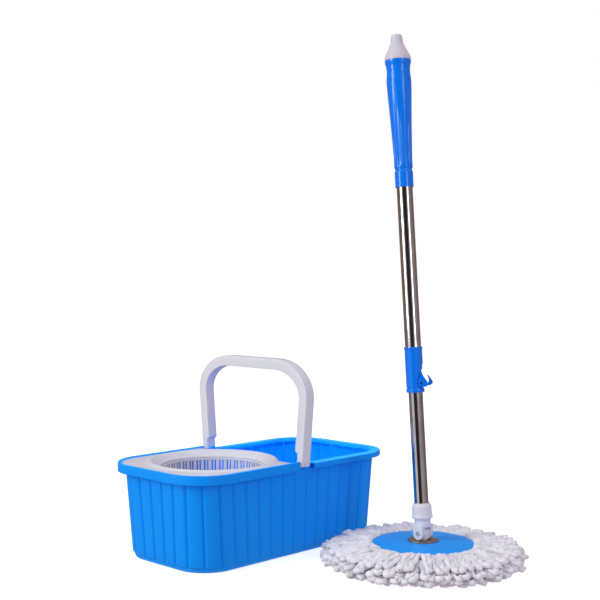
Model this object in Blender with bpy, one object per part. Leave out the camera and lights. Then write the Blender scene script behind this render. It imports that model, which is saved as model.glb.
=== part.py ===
"""Spin mop with its wringing bucket, standing ready for use.

The frame is the bucket's: the origin is the middle of the bucket's underside, +X runs along the
bucket towards the open water end, +Y points away from the mop, and +Z is up.
Sizes are in millimetres; new_object and empty turn them into metres.
"""

import math

import bmesh
import bpy
from mathutils import Matrix, Vector

MM = 0.001

# Clearances
FIT = 0.3            # between pieces that touch or are fixed in one another
RUNNING = 0.35       # between the twisted rod and the drive nut
SINK = 0.1           # how far a piece that is joined on starts inside the other

# Bucket
BASE_LENGTH = 398.0
BASE_WIDTH = 199.5
BASE_CORNER = 54.0
WALL_FLARE_X = 10.5  # how far each end leans out from the base to the rim
WALL_FLARE_Y = 4.75
RIM_HALF_X = BASE_LENGTH / 2 + WALL_FLARE_X
RIM_HALF_Y = BASE_WIDTH / 2 + WALL_FLARE_Y
TOP_CORNER = 52.0
WALL = 2.2
FLANGE_Z = 146.5     # top of the flange, which is the rim of the water half
TRAY_LIP_RISE = 5.5  # lip that rises round the tray on the basket half
TRAY_LIP_WIDTH = 5.5
BAND_OUT = 15.5      # how far the rim band stands out from the wall
BAND_BOTTOM_Z = FLANGE_Z - 9.0
RIM_EDGE = 1.2       # bevel along the rim's edges
FLUTE_COUNT = 44
FLUTE_PROUD = 2.5
FLUTE_FADE = 4.0     # height over which a flute fades out at each end
GROOVE_WIDTH = 7.0
FLUTE_BOTTOM_Z = 4.5
FLUTE_TOP_Z = FLANGE_Z - 4.5
BASE_EDGE = 3.5
STEP_X = 3.0         # where the high half of the rim ends, inside the bail notch

# Bail handle
NOTCH_X = (-13.0, 20.6)
NOTCH_FACE_Y = RIM_HALF_Y + 3.9
NOTCH_BOTTOM_Z = FLANGE_Z - 10.5
BAIL_PIVOT_Z = FLANGE_Z + 0.5
BAIL_WIDTH = 18.8
BAIL_THICK = 17.5
BAIL_TOP_Z = BAIL_PIVOT_Z + 165.4
BAIL_FOOT_Z = BAIL_PIVOT_Z - 4.1
BAIL_FOOT_Y = RIM_HALF_Y + BAND_OUT - 0.1  # outer face at the foot
BAIL_LEG_Y = BAIL_FOOT_Y + 10.0            # outer face at the top of the leg
BAIL_BEND_RISE = 60.0
BAIL_BEND_RUN = 74.0
BAIL_SHOULDER_Z = BAIL_PIVOT_Z + 16.5
BAIL_FOOT_TOP = BAIL_SHOULDER_Z + 4.0      # where the solid foot gives way to the channel
BAIL_SKIN = 2.4
BAIL_RIB = 2.0
BAIL_STEP = 0.3      # length over which the channel's depth changes
PIVOT_PIN_R = 2.5
PIVOT_HEAD_R = PIVOT_PIN_R + 1.3
PIVOT_BOSS_R = PIVOT_PIN_R + 2.7
PIVOT_INNER_Y = RIM_HALF_Y - WALL / 2      # inner end of the pin's bore, inside the wall

# Tray and basket
RING_R = RIM_HALF_Y - 0.1
BASKET_X = RING_R + 13.5 - RIM_HALF_X
TRAY_EDGE_X = NOTCH_X[0] - 7.0
TRAY_THICK = 3.2
TRAY_GAP = 0.6       # between the tray's edge and the lip round it
RING_TOP_Z = FLANGE_Z + 6.1
RING_WALL = 2.4
RING_SKIRT_R = RING_R - 3.2
RING_SKIRT_Z = FLANGE_Z - 8.0
THROAT_R = RING_R - 21.0
THROAT_Z = FLANGE_Z - 5.0
BASKET_TOP_R = THROAT_R + 0.8
BASKET_FLOOR_R = BASKET_TOP_R - 7.7
BASKET_WALL = 2.2
BASKET_TOP_Z = THROAT_Z - 1.0
BASKET_FLOOR_Z = 23.0
BASKET_FLOOR_TOP = BASKET_FLOOR_Z + BASKET_WALL + 0.2
SLOT_TOP_Z = BASKET_TOP_Z - 2.9
SLOT_BOTTOM_Z = 44.0
SLOT_PAIRS = 40
SLOT_SHARE = 0.2     # share of a pair's pitch that one slot takes
FLOOR_HOLE_R = 20.0
FLOOR_SLOT_R = (FLOOR_HOLE_R + 10.0, BASKET_FLOOR_R - 16.5)
SPINDLE_R = 4.0
SPINDLE_TOP_Z = 48.0
SPINDLE_COLLAR_R = SPINDLE_R + 3.0
FLOOR_BOSS_R = SPINDLE_R + 10.0
FLOOR_BOSS_Z = 12.0
SPINDLE_SEAT_Z = FLOOR_BOSS_Z + 2.0        # top of the spindle's collar
THRUST_WASHER_R = SPINDLE_COLLAR_R + 2.0
THRUST_WASHER_THICK = 1.3
HUB_TOP_Z = SPINDLE_TOP_Z + 8.0

# Mop head
MOP_X = 90.0
MOP_Y = -(RIM_HALF_Y + 181.5)
DISC_R = THROAT_R - 3.4
DISC_EDGE_Z = 34.7
DISC_CENTRE_Z = 37.6
DISC_THICK = 3.2
WASHER_R = 23.7
WASHER_THICK = 1.1
STEM_R = 6.7
STEM_BOTTOM_Z = 20.2
STEM_NUT_R = STEM_R + 4.8
STEM_NUT_THICK = 3.7
HUB_R = (STEM_R + 6.3, STEM_R + 7.3)       # disc's hub at its bottom and its top
HUB_BOTTOM_Z = STEM_BOTTOM_Z + STEM_NUT_THICK + FIT
YARN_R = DISC_R + 78.0
YARN_HOLE_R = 24.0
YARN_CROWN_Z = 38.5
RING_HOLDER_R = (DISC_R - 28.0, DISC_R - 4.0)

# Joint between head and pole: the pin runs along X
PIN_R = 2.6
EAR_R = STEM_R + 2.0
EAR_GAP = STEM_R + 0.4    # inner face of an ear from the middle
EAR_OUT = EAR_GAP + 6.5   # outer face of an ear from the middle
PIN_Z = DISC_CENTRE_Z + FIT + WASHER_THICK + 1.3 + EAR_R
POLE_LEAN = math.radians(-4.1)

# Pole: heights are along the pole from the pin
TUBE_WALL = 0.8
LOWER_TUBE_R = 11.0
LOWER_TUBE_TOP = 532.0
LOWER_SPIGOT_R = LOWER_TUBE_R - TUBE_WALL - FIT
NECK_R = LOWER_TUBE_R + 1.75
NECK_BOTTOM = EAR_R + 1.3
NECK_TOP = NECK_BOTTOM + 13.0
SPIGOT_TOP = NECK_TOP + 36.0
NUT_R = LOWER_TUBE_R + 4.25
NUT_TOP = NECK_TOP + 24.0
UPPER_TUBE_R = LOWER_TUBE_R + TUBE_WALL + 0.7
UPPER_TUBE_BOTTOM = 254.0
UPPER_TUBE_TOP = 696.0
ROD_WIDTH = 8.0
ROD_THICK = 2.4
ROD_PITCH = 100.0    # travel of the handle for one turn of the drive nut
ROD_BOTTOM = 250.0
ROD_TOP = 676.0
ROD_HOLE_R = ROD_WIDTH / 2 + 1.0
STOP_R = 6.4
DRIVE_NUT_R = LOWER_SPIGOT_R - 3.2
DRIVE_NUT_LENGTH = 22.0
DRIVE_NUT_TOP = LOWER_TUBE_TOP - 4.0
DRIVE_NUT_BOTTOM = DRIVE_NUT_TOP - DRIVE_NUT_LENGTH

# Lock collar and its lever, which face COLLAR_TURN round the pole
COLLAR_TURN = math.radians(-45.4)
COLLAR_R = UPPER_TUBE_R + 1.25
COLLAR_BOTTOM = UPPER_TUBE_BOTTOM - 35.5
COLLAR_TOP = UPPER_TUBE_BOTTOM + 35.0
COLLAR_RING_R = COLLAR_R + 0.5
LEVER_PIVOT = (COLLAR_R - 6.05, COLLAR_BOTTOM + 14.5)
LEVER_ARM = (COLLAR_R + 0.35, COLLAR_R + 2.55)
LEVER_PIN_R = 1.6
LEVER_BOSS_R = LEVER_PIN_R + 1.8
LEVER_BORE_IN = COLLAR_R - 1.8             # inner end of the pin's bore
FINGER_HALF = 5.0

# Grip
GRIP_BOTTOM = 538.5
GRIP_TOP = 737.5
GRIP_NECK_R = UPPER_TUBE_R + 1.7
GRIP_TOP_R = GRIP_NECK_R + 6.3
GRIP_WAIST_R = GRIP_NECK_R + 4.0
GRIP_BULGE_R = GRIP_NECK_R + 5.3
CAP_TOP = GRIP_TOP + 41.8
CAP_KNOB_R = 9.0

THROUGH = 20.0       # half length of a cutter that goes right through the joint it bores


def material(name, colour, roughness, metallic=0.0):
    """A Principled finish of one linear colour."""
    made = bpy.data.materials.new(name)
    made.use_nodes = True
    shader = made.node_tree.nodes["Principled BSDF"]
    shader.inputs["Base Color"].default_value = (*colour, 1.0)
    shader.inputs["Roughness"].default_value = roughness
    shader.inputs["Metallic"].default_value = metallic
    return made


BLUE = (0.0, 0.22, 0.80)
WHITE = (0.72, 0.72, 0.76)
STEEL = (0.62, 0.60, 0.58)
YARN = (0.78, 0.77, 0.80)
BLACK = (0.03, 0.03, 0.035)


def empty(name, at, parent=None, turn=(0.0, 0.0, 0.0)):
    """A frame that pieces are placed in, often a joint's axis."""
    frame = bpy.data.objects.new(name, None)
    frame.location = Vector(at) * MM
    frame.rotation_euler = turn
    frame.parent = parent
    bpy.context.scene.collection.objects.link(frame)
    return frame


def new_object(name, shape, finish, parent=None, sharp=35.0):
    """Link a mesh object made from (points, faces) in millimetres, with its faces pointing out."""
    points, faces = shape
    mesh = bpy.data.meshes.new(name)
    mesh.from_pydata([tuple(c * MM for c in p) for p in points], [], faces)
    body = bmesh.new()
    body.from_mesh(mesh)
    bmesh.ops.recalc_face_normals(body, faces=body.faces)
    body.to_mesh(mesh)
    body.free()
    mesh.shade_smooth()
    mesh.set_sharp_from_angle(angle=math.radians(sharp))
    made = bpy.data.objects.new(name, mesh)
    made.parent = parent
    if finish:
        made.data.materials.append(finish)
    bpy.context.scene.collection.objects.link(made)
    return made


def boolean(target, name, shape, operation, parent=None):
    """Cut a helper shape from a piece or join it to the piece, with the helper kept out of renders."""
    helper = new_object(name, shape, None, parent)
    helper.hide_render = True
    helper.display_type = "WIRE"
    step = target.modifiers.new(name, "BOOLEAN")
    step.object = helper
    step.operation = operation
    step.solver = "EXACT"


def turned(profile, segments, closed=True):
    """Turn an (r, z) outline round Z. A closed outline is a ring; an open one starts and ends at r = 0."""
    points, rows = [], []
    for r, z in profile:
        if r < 1e-9:
            rows.append([len(points)] * segments)
            points.append((0.0, 0.0, z))
            continue
        rows.append(list(range(len(points), len(points) + segments)))
        for k in range(segments):
            angle = 2 * math.pi * k / segments
            points.append((r * math.cos(angle), r * math.sin(angle), z))
    pairs = list(zip(rows, rows[1:]))
    if closed:
        pairs.append((rows[-1], rows[0]))
    faces = []
    for low, high in pairs:
        for k in range(segments):
            n = (k + 1) % segments
            corners = [low[k], low[n], high[n], high[k]]
            faces.append(list(dict.fromkeys(corners)))
    return points, faces


def stacked(loops):
    """Join loops of equal length into one closed body, with a flat face on the first and the last."""
    count = len(loops[0])
    points = [p for loop in loops for p in loop]
    faces = [list(range(count)), list(range(len(points) - count, len(points)))]
    for level in range(len(loops) - 1):
        start = level * count
        for k in range(count):
            n = (k + 1) % count
            faces.append([start + k, start + n, start + count + n, start + count + k])
    return points, faces


def extruded(outline, low, high):
    """A prism on a flat (x, y) outline, from z = low to z = high."""
    return stacked([[(x, y, z) for x, y in outline] for z in (low, high)])


def moved(shape, matrix):
    """The same shape with its points carried by a matrix."""
    points, faces = shape
    return [tuple(matrix @ Vector(p)) for p in points], faces


def circle(radius, segments, centre=(0.0, 0.0)):
    """Points round a circle."""
    angles = [2 * math.pi * k / segments for k in range(segments)]
    return [(centre[0] + radius * math.cos(a), centre[1] + radius * math.sin(a)) for a in angles]


def box(low, high):
    """A block between two corners."""
    outline = [(low[0], low[1]), (high[0], low[1]), (high[0], high[1]), (low[0], high[1])]
    return extruded(outline, low[2], high[2])


# An (x, y) outline extruded along z is laid down so that it reads (x, z) and runs along -y.
SIDEWAYS = Matrix(((1, 0, 0, 0), (0, 0, -1, 0), (0, 1, 0, 0), (0, 0, 0, 1)))
# The same for an outline that reads (y, z) and runs along x.
CROSSWAYS = Matrix(((0, 0, 1, 0), (1, 0, 0, 0), (0, 1, 0, 0), (0, 0, 0, 1)))


def side_prism(outline_xz, y_low, y_high):
    """A prism on an (x, z) outline, from y_low to y_high."""
    return moved(extruded(outline_xz, -y_high, -y_low), SIDEWAYS)


def cross_prism(outline_yz, x_low, x_high):
    """A prism on a (y, z) outline, from x_low to x_high."""
    return moved(extruded(outline_yz, x_low, x_high), CROSSWAYS)


# ---------------------------------------------------------------- bucket

def bucket_size(z):
    """Length, width and corner radius of the bucket's wall at a height."""
    share = z / FLANGE_Z
    length = BASE_LENGTH + 2 * WALL_FLARE_X * share
    width = BASE_WIDTH + 2 * WALL_FLARE_Y * share
    return length, width, BASE_CORNER + (TOP_CORNER - BASE_CORNER) * share


def outline_point(size, segment, t, offset):
    """A point at share t of one of the eight stretches of a rounded rectangle, moved out by offset."""
    length, width, radius = size
    a, b = length / 2 - radius, width / 2 - radius
    if segment % 2:
        turn = (segment // 2 + t) * math.pi / 2
        sign_x = 1 if segment in (1, 7) else -1
        sign_y = 1 if segment in (1, 3) else -1
        reach = radius + offset
        return sign_x * a + reach * math.cos(turn), sign_y * b + reach * math.sin(turn)
    return {
        0: (length / 2 + offset, b * (2 * t - 1)),
        2: (a * (1 - 2 * t), width / 2 + offset),
        4: (-length / 2 - offset, b * (1 - 2 * t)),
        6: (a * (2 * t - 1), -width / 2 - offset),
    }[segment]


def stretch_lengths():
    """Lengths of the eight stretches of the wall's outline at mid-height."""
    length, width, radius = bucket_size(FLANGE_Z / 2)
    end, corner, side = width - 2 * radius, radius * math.pi / 2, length - 2 * radius
    return [end, corner, side, corner, end, corner, side, corner]


def wall_stations():
    """(stretch, share, lift) round the wall: lift is 0 at the bottom of a groove and 1 on a panel."""
    lengths = stretch_lengths()
    total = sum(lengths)
    pitch = total / FLUTE_COUNT
    half = GROOVE_WIDTH / 2
    places = []
    for flute in range(FLUTE_COUNT):
        start = flute * pitch + pitch / 2
        places += [start, start + half, start + pitch / 2, start + pitch - half]
    before_side = lengths[0] + lengths[1]
    middle_far = before_side + lengths[2] / 2
    middle_near = middle_far + total / 2
    places += [middle_far - STEP_X * 2, middle_far, middle_near, middle_near + STEP_X * 2]
    stations = []
    for place in sorted({round(p % total, 4) for p in places}):
        segment, left = 0, place
        while left > lengths[segment]:
            left -= lengths[segment]
            segment += 1
        straight = segment % 2 == 0
        from_groove = abs(place % pitch - pitch / 2)
        lift = min(1.0, from_groove / half)
        mid_panel = abs(from_groove - pitch / 2) < 0.01
        at_middle = min(abs(place - middle_far), abs(place - middle_near)) <= 1.0
        if straight and mid_panel and not at_middle:
            continue
        stations.append((segment, left / lengths[segment], lift))
    return stations


def wall_loop(stations, offset, z, panel=0.0):
    """One level of the wall: every point at the offset, and the panels further out."""
    size = bucket_size(z)
    return [(*outline_point(size, s, t, offset + panel * lift), z) for s, t, lift in stations]


def rim_loop(stations, basket_half, water_half):
    """One level of the rim, whose (offset, z) differs between the basket half and the water half."""
    points = []
    for segment, t, _ in stations:
        x = outline_point(bucket_size(FLANGE_Z), segment, t, 0.0)[0]
        offset, z = basket_half if x < STEP_X else water_half
        points.append((*outline_point(bucket_size(FLANGE_Z), segment, t, offset), z))
    return points


def bucket_tub(finish):
    """Fluted tub with a hollow rim band, a lip round the tray, bail notches and the basket's boss."""
    stations = wall_stations()
    lip_z = FLANGE_Z + TRAY_LIP_RISE
    lip_in = BAND_OUT - TRAY_LIP_WIDTH
    under = FLANGE_Z - WALL
    fades = (FLUTE_BOTTOM_Z, FLUTE_BOTTOM_Z + FLUTE_FADE, FLUTE_TOP_Z - FLUTE_FADE, FLUTE_TOP_Z)
    panels = (0.0, FLUTE_PROUD, FLUTE_PROUD, 0.0)

    def rim_level(offset, z):
        return rim_loop(stations, (offset, z), (offset, z))

    loops = [wall_loop(stations, -BASE_EDGE, 0.0), wall_loop(stations, 0.0, BASE_EDGE)]
    loops += [wall_loop(stations, 0.0, z, panel) for z, panel in zip(fades, panels)]
    loops += [
        rim_level(0.0, under),
        rim_level(BAND_OUT - WALL, under),
        rim_level(BAND_OUT - WALL, BAND_BOTTOM_Z),
        rim_level(BAND_OUT, BAND_BOTTOM_Z),
        rim_loop(stations, (BAND_OUT, lip_z - RIM_EDGE), (BAND_OUT, FLANGE_Z - RIM_EDGE)),
        rim_loop(stations, (BAND_OUT - RIM_EDGE, lip_z), (BAND_OUT - RIM_EDGE, FLANGE_Z)),
        rim_loop(stations, (lip_in, lip_z), (lip_in, FLANGE_Z)),
        rim_loop(stations, (lip_in, FLANGE_Z), (lip_in - RIM_EDGE, FLANGE_Z)),
        rim_level(-WALL, FLANGE_Z),
    ]
    inside = list(zip(fades, panels))[::-1]
    loops += [wall_loop(stations, -WALL, z, panel) for z, panel in inside]
    loops.append(wall_loop(stations, -WALL - BASE_EDGE, WALL))
    tub = new_object("bucket_tub", stacked(loops), finish)
    for side, name in ((-1, "near"), (1, "far")):
        outer = side * (RIM_HALF_Y + BAND_OUT + 5)
        low_y, high_y = sorted((side * NOTCH_FACE_Y, outer))
        notch = box((NOTCH_X[0], low_y, NOTCH_BOTTOM_Z), (NOTCH_X[1], high_y, lip_z + 4))
        boolean(tub, f"cut_notch_{name}", notch, "DIFFERENCE")
        low_y, high_y = sorted((side * (RIM_HALF_Y - WALL + SINK), side * (NOTCH_FACE_Y - 0.02)))
        boss = side_prism(circle(PIVOT_BOSS_R, 20, (0, BAIL_PIVOT_Z)), low_y, high_y)
        boolean(tub, f"add_pivot_boss_{name}", boss, "UNION")
        low_y, high_y = sorted((side * PIVOT_INNER_Y, side * (NOTCH_FACE_Y + 1)))
        bore = side_prism(circle(PIVOT_PIN_R + FIT, 16, (0, BAIL_PIVOT_Z)), low_y, high_y)
        boolean(tub, f"cut_pivot_{name}", bore, "DIFFERENCE")
    floor_boss = extruded(circle(FLOOR_BOSS_R, 28, (BASKET_X, 0)), WALL / 2, FLOOR_BOSS_Z)
    boolean(tub, "add_floor_boss", floor_boss, "UNION")
    floor_bore = extruded(circle(SPINDLE_R + FIT, 20, (BASKET_X, 0)), WALL, FLOOR_BOSS_Z + 1)
    boolean(tub, "cut_floor_boss", floor_bore, "DIFFERENCE")


# ---------------------------------------------------------------- bail handle

def bail_frames():
    """Places along the bail's outer face: (y, z), outward direction, thickness and depth of the skin."""
    half = BAIL_WIDTH / 2
    solid, web = half - 0.4, -half + BAIL_SKIN
    foot_thick = BAIL_FOOT_Y - NOTCH_FACE_Y - FIT
    bend_z = BAIL_TOP_Z - BAIL_BEND_RISE
    bend_y = BAIL_LEG_Y - BAIL_BEND_RUN
    lean = math.atan2(BAIL_LEG_Y - BAIL_FOOT_Y, bend_z - BAIL_FOOT_Z)

    def on_leg(z, thick, skin):
        share = (z - BAIL_FOOT_Z) / (bend_z - BAIL_FOOT_Z)
        y = BAIL_FOOT_Y + (BAIL_LEG_Y - BAIL_FOOT_Y) * share
        return (y, z), (math.cos(lean), -math.sin(lean)), thick, skin

    frames = [
        ((BAIL_FOOT_Y, BAIL_FOOT_Z), (1.0, 0.0), foot_thick, solid),
        on_leg(BAIL_SHOULDER_Z - BAIL_STEP, foot_thick + 1.0, solid),
        on_leg(BAIL_SHOULDER_Z, BAIL_THICK, solid),
        on_leg(BAIL_FOOT_TOP, BAIL_THICK, solid),
        on_leg(BAIL_FOOT_TOP + BAIL_STEP, BAIL_THICK, web),
    ]
    for rib in range(2):
        z = BAIL_FOOT_TOP + (bend_z - BAIL_FOOT_TOP) * (rib + 1) / 3
        top = z + BAIL_RIB
        frames += [on_leg(z - BAIL_STEP, BAIL_THICK, web), on_leg(z, BAIL_THICK, solid)]
        frames += [on_leg(top, BAIL_THICK, solid), on_leg(top + BAIL_STEP, BAIL_THICK, web)]
    for k in range(9):
        turn = lean + (math.pi / 2 - lean) * k / 8 if k else 0.0
        y = bend_y + BAIL_BEND_RUN * math.cos(turn)
        z = bend_z + BAIL_BEND_RISE * math.sin(turn)
        facing = Vector((math.cos(turn) / BAIL_BEND_RUN, math.sin(turn) / BAIL_BEND_RISE))
        facing = facing.normalized() if k else Vector((math.cos(lean), -math.sin(lean)))
        frames.append(((y, z), tuple(facing), BAIL_THICK, web))
    y = bend_y * 2 / 5
    rib_at = ((BAIL_RIB + BAIL_STEP, web), (BAIL_RIB, solid), (0.0, solid), (-BAIL_STEP, web))
    for place, skin in rib_at:
        frames.append(((y + place, BAIL_TOP_Z), (0.0, 1.0), BAIL_THICK, skin))
    mirrored = [((-y, z), (-ny, nz), thick, skin) for (y, z), (ny, nz), thick, skin in reversed(frames)]
    return frames + mirrored


def bail_handle(finish, axis):
    """U-shaped carrying handle: a channel open towards the water half, with cross ribs and solid feet."""
    half = BAIL_WIDTH / 2
    loops = []
    for (y, z), (ny, nz), thick, skin in bail_frames():
        section = [
            (-half, 0.0), (half, 0.0), (half, -BAIL_SKIN), (skin, -BAIL_SKIN),
            (skin, BAIL_SKIN - thick), (half, BAIL_SKIN - thick), (half, -thick), (-half, -thick),
        ]
        loops.append([(x, y + n * ny, z + n * nz - BAIL_PIVOT_Z) for x, n in section])
    handle = new_object("bail_handle", stacked(loops), finish, axis, sharp=30)
    bore = side_prism(circle(PIVOT_PIN_R + FIT, 16), -BAIL_FOOT_Y - 5, BAIL_FOOT_Y + 5)
    boolean(handle, "cut_bail_pivot", bore, "DIFFERENCE", axis)


def bail_pins(finish, axis):
    """The two headed pins that the bail swings on."""
    inner = PIVOT_INNER_Y + FIT
    face = BAIL_FOOT_Y + 0.8
    profile = [
        (0.0, inner), (PIVOT_PIN_R, inner), (PIVOT_PIN_R, face), (PIVOT_HEAD_R, face),
        (PIVOT_HEAD_R, face + 0.6), (PIVOT_HEAD_R - 1.2, face + 1.3), (0.0, face + 1.3),
    ]
    upright = turned(profile, 16, closed=False)
    for side, name in ((-1, "near"), (1, "far")):
        laid = Matrix.Rotation(-side * math.pi / 2, 4, "X")
        new_object(f"bail_pin_{name}", moved(upright, laid), finish, axis)


# ---------------------------------------------------------------- tray and basket

def tray_outline():
    """Outline of the tray's plate: the basket end of the rim, closed by a straight edge."""
    size = bucket_size(FLANGE_Z)
    offset = BAND_OUT - TRAY_LIP_WIDTH - TRAY_GAP
    y = size[1] / 2 + offset
    round_r = 4.0
    points = [(TRAY_EDGE_X, -y + round_r), (TRAY_EDGE_X, y - round_r), (TRAY_EDGE_X - round_r, y)]
    for segment in (3, 5):
        points += [outline_point(size, segment, k / 8, offset) for k in range(9)]
    return points + [(TRAY_EDGE_X - round_r, -y)]


def basket_tray(finish, frame):
    """Plate over the basket end with the splash ring and funnel that lead the mop into the basket."""
    low = FLANGE_Z + FIT
    plate = [(x - BASKET_X, y) for x, y in tray_outline()]
    tray = new_object("basket_tray", extruded(plate, low, low + TRAY_THICK), finish, frame)
    inner = RING_SKIRT_R - RING_WALL
    well = extruded(circle(inner + 0.7, 40), low - 5, low + TRAY_THICK + 5)
    boolean(tray, "cut_tray_well", well, "DIFFERENCE", frame)
    ring = [
        (RING_SKIRT_R, RING_SKIRT_Z), (RING_SKIRT_R, low + 0.4), (RING_R, low + 0.4),
        (RING_R, RING_TOP_Z - 1.2), (RING_R - 1.3, RING_TOP_Z - 0.4), (RING_R - 3.9, RING_TOP_Z),
        (RING_R - 6.6, RING_TOP_Z - 0.9), (THROAT_R + 0.8, THROAT_Z + 1.8), (THROAT_R, THROAT_Z),
        (THROAT_R + RING_WALL, THROAT_Z), (inner, RING_TOP_Z - 3.2), (inner, RING_SKIRT_Z),
    ]
    boolean(tray, "add_tray_ring", turned(ring, 40), "UNION", frame)


def basket_levels():
    """Outer and inner (r, z) down the basket's wall and in across its floor."""
    fall = (BASKET_TOP_R - BASKET_FLOOR_R) / (BASKET_TOP_Z - BASKET_FLOOR_Z)

    def wall_at(z):
        r = BASKET_TOP_R - (BASKET_TOP_Z - z) * fall
        return (r, z), (r - BASKET_WALL, z)

    floor, top = BASKET_FLOOR_Z, BASKET_FLOOR_TOP
    slot_in, slot_out = FLOOR_SLOT_R
    return [
        wall_at(BASKET_TOP_Z), wall_at(SLOT_TOP_Z), wall_at(SLOT_BOTTOM_Z),
        wall_at(floor + 7), ((BASKET_FLOOR_R - 5, floor), (BASKET_FLOOR_R - 6, top)),
        ((slot_out, floor), (slot_out, top)),
        ((slot_in, floor), (slot_in, top)),
        ((FLOOR_HOLE_R, floor), (FLOOR_HOLE_R, top)),
    ]


def basket_angles():
    """Where slots and bars meet round the wall: each pair is slot, thin bar, slot, wide bar."""
    pitch = 2 * math.pi / SLOT_PAIRS
    shares = (0.0, SLOT_SHARE, 2 * SLOT_SHARE, 3 * SLOT_SHARE)
    return [pitch * (pair + share) for pair in range(SLOT_PAIRS) for share in shares]


def spin_basket(finish, axis):
    """Slotted basket that spins the mop dry: paired slots in the wall and radial slots in the floor."""
    levels = basket_levels()
    fine = basket_angles()
    coarse = fine[::4]
    angles = [fine] * 3 + [coarse] * 5
    points, rows = [], []
    for (outer, inner), around in zip(levels, angles):
        pair = []
        for r, z in (outer, inner):
            pair.append(list(range(len(points), len(points) + len(around))))
            points += [(r * math.cos(a), r * math.sin(a), z) for a in around]
        rows.append(pair)
    faces = []

    def ring(low, high, slotted=False):
        count = len(low[0])
        for k in range(count):
            n = (k + 1) % count
            if not slotted or k % 2:
                for skin in (0, 1):
                    faces.append([low[skin][k], low[skin][n], high[skin][n], high[skin][k]])
            if slotted:
                faces.append([low[0][k], high[0][k], high[1][k], low[1][k]])

    ring(rows[0], rows[1])
    ring(rows[1], rows[2], slotted=True)
    for pair in range(SLOT_PAIRS):
        after = (pair + 1) % SLOT_PAIRS
        for skin in (0, 1):
            high, low = rows[2][skin], rows[3][skin]
            arc = [high[(4 * pair + step) % len(high)] for step in range(5)]
            faces.append([low[pair], low[after], arc[2]])
            faces += [[low[pair], arc[0], arc[1]], [low[pair], arc[1], arc[2]]]
            faces += [[low[after], arc[2], arc[3]], [low[after], arc[3], arc[4]]]
    ring(rows[3], rows[4])
    ring(rows[4], rows[5])
    ring(rows[5], rows[6], slotted=True)
    ring(rows[6], rows[7])
    for low, high in ((rows[1], rows[2]), (rows[5], rows[6])):
        count = len(low[0])
        for k in range(0, count, 2):
            n = (k + 1) % count
            faces.append([low[0][k], low[0][n], low[1][n], low[1][k]])
            faces.append([high[0][k], high[0][n], high[1][n], high[1][k]])
    for end in (rows[0], rows[-1]):
        count = len(end[0])
        for k in range(count):
            n = (k + 1) % count
            faces.append([end[0][k], end[0][n], end[1][n], end[1][k]])
    new_object("spin_basket", (points, faces), finish, axis, sharp=30)


def basket_hub(finish, axis):
    """Drive cone in the middle of the basket's floor: it turns on the spindle and centres the mop."""
    bore = SPINDLE_R + FIT
    seat = SPINDLE_SEAT_Z + THRUST_WASHER_THICK + 2 * FIT
    roof = SPINDLE_TOP_Z + FIT
    edge = FLOOR_HOLE_R - FIT
    skirt = FLOOR_HOLE_R + 6.0
    profile = [
        (0.0, roof), (bore, roof), (bore, seat), (THRUST_WASHER_R, seat), (edge, BASKET_FLOOR_Z),
        (edge, BASKET_FLOOR_TOP + FIT), (skirt, BASKET_FLOOR_TOP + FIT),
        (skirt, BASKET_FLOOR_TOP + 2.0), (skirt - 10.0, BASKET_FLOOR_TOP + 4.0),
        (bore + 6.7, HUB_TOP_Z - 6), (bore + 2.7, HUB_TOP_Z - 1), (0.0, HUB_TOP_Z),
    ]
    new_object("basket_hub", turned(profile, 20, closed=False), finish, axis)


def basket_spindle(finish, axis):
    """Steel spindle that stands in the bucket's floor boss."""
    profile = [
        (0.0, WALL + FIT), (SPINDLE_R, WALL + FIT), (SPINDLE_R, FLOOR_BOSS_Z + FIT),
        (SPINDLE_COLLAR_R, FLOOR_BOSS_Z + FIT), (SPINDLE_COLLAR_R, SPINDLE_SEAT_Z),
        (SPINDLE_R, SPINDLE_SEAT_Z), (SPINDLE_R, SPINDLE_TOP_Z - 2), (0.0, SPINDLE_TOP_Z),
    ]
    new_object("basket_spindle", turned(profile, 20, closed=False), finish, axis)


def ring_piece(name, inner, outer, low, high, finish, frame, segments=24):
    """A plain ring, such as a washer, a tube or a bush."""
    profile = [(inner, low), (outer, low), (outer, high), (inner, high)]
    return new_object(name, turned(profile, segments), finish, frame)


# ---------------------------------------------------------------- mop head

def mop_disc(finish, frame):
    """Shallow domed plate that carries the yarn, with a hub below its middle."""
    bore = STEM_R + FIT
    edge_low = DISC_EDGE_Z - DISC_THICK
    profile = [
        (bore, DISC_CENTRE_Z), (WASHER_R + 1, DISC_CENTRE_Z), (DISC_R * 0.65, DISC_CENTRE_Z - 0.8),
        (DISC_R - 1.5, DISC_EDGE_Z), (DISC_R, DISC_EDGE_Z - 1.2), (DISC_R - 0.4, edge_low),
        (HUB_R[1], edge_low), (HUB_R[0], HUB_BOTTOM_Z), (bore, HUB_BOTTOM_Z),
    ]
    new_object("mop_disc", turned(profile, 40), finish, frame)


def tilt_knuckle(finish, frame):
    """Tongue that the pole tilts on, with the round stem that goes down through the disc."""
    side = EAR_R - FIT
    outline = [(-side, PIN_Z - EAR_R + 1.0), (side, PIN_Z - EAR_R + 1.0)]
    outline += [(side * math.cos(a), PIN_Z + side * math.sin(a)) for a in
                (math.pi * k / 12 for k in range(13))]
    half = EAR_GAP - FIT
    tongue = new_object("tilt_knuckle", cross_prism(outline, -half, half), finish, frame)
    stem = extruded(circle(STEM_R, 24), STEM_BOTTOM_Z, PIN_Z - EAR_R / 2)
    boolean(tongue, "add_knuckle_stem", stem, "UNION", frame)
    bore = cross_prism(circle(PIN_R + FIT, 16, (0, PIN_Z)), -THROUGH, THROUGH)
    boolean(tongue, "cut_knuckle_bore", bore, "DIFFERENCE", frame)


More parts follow.
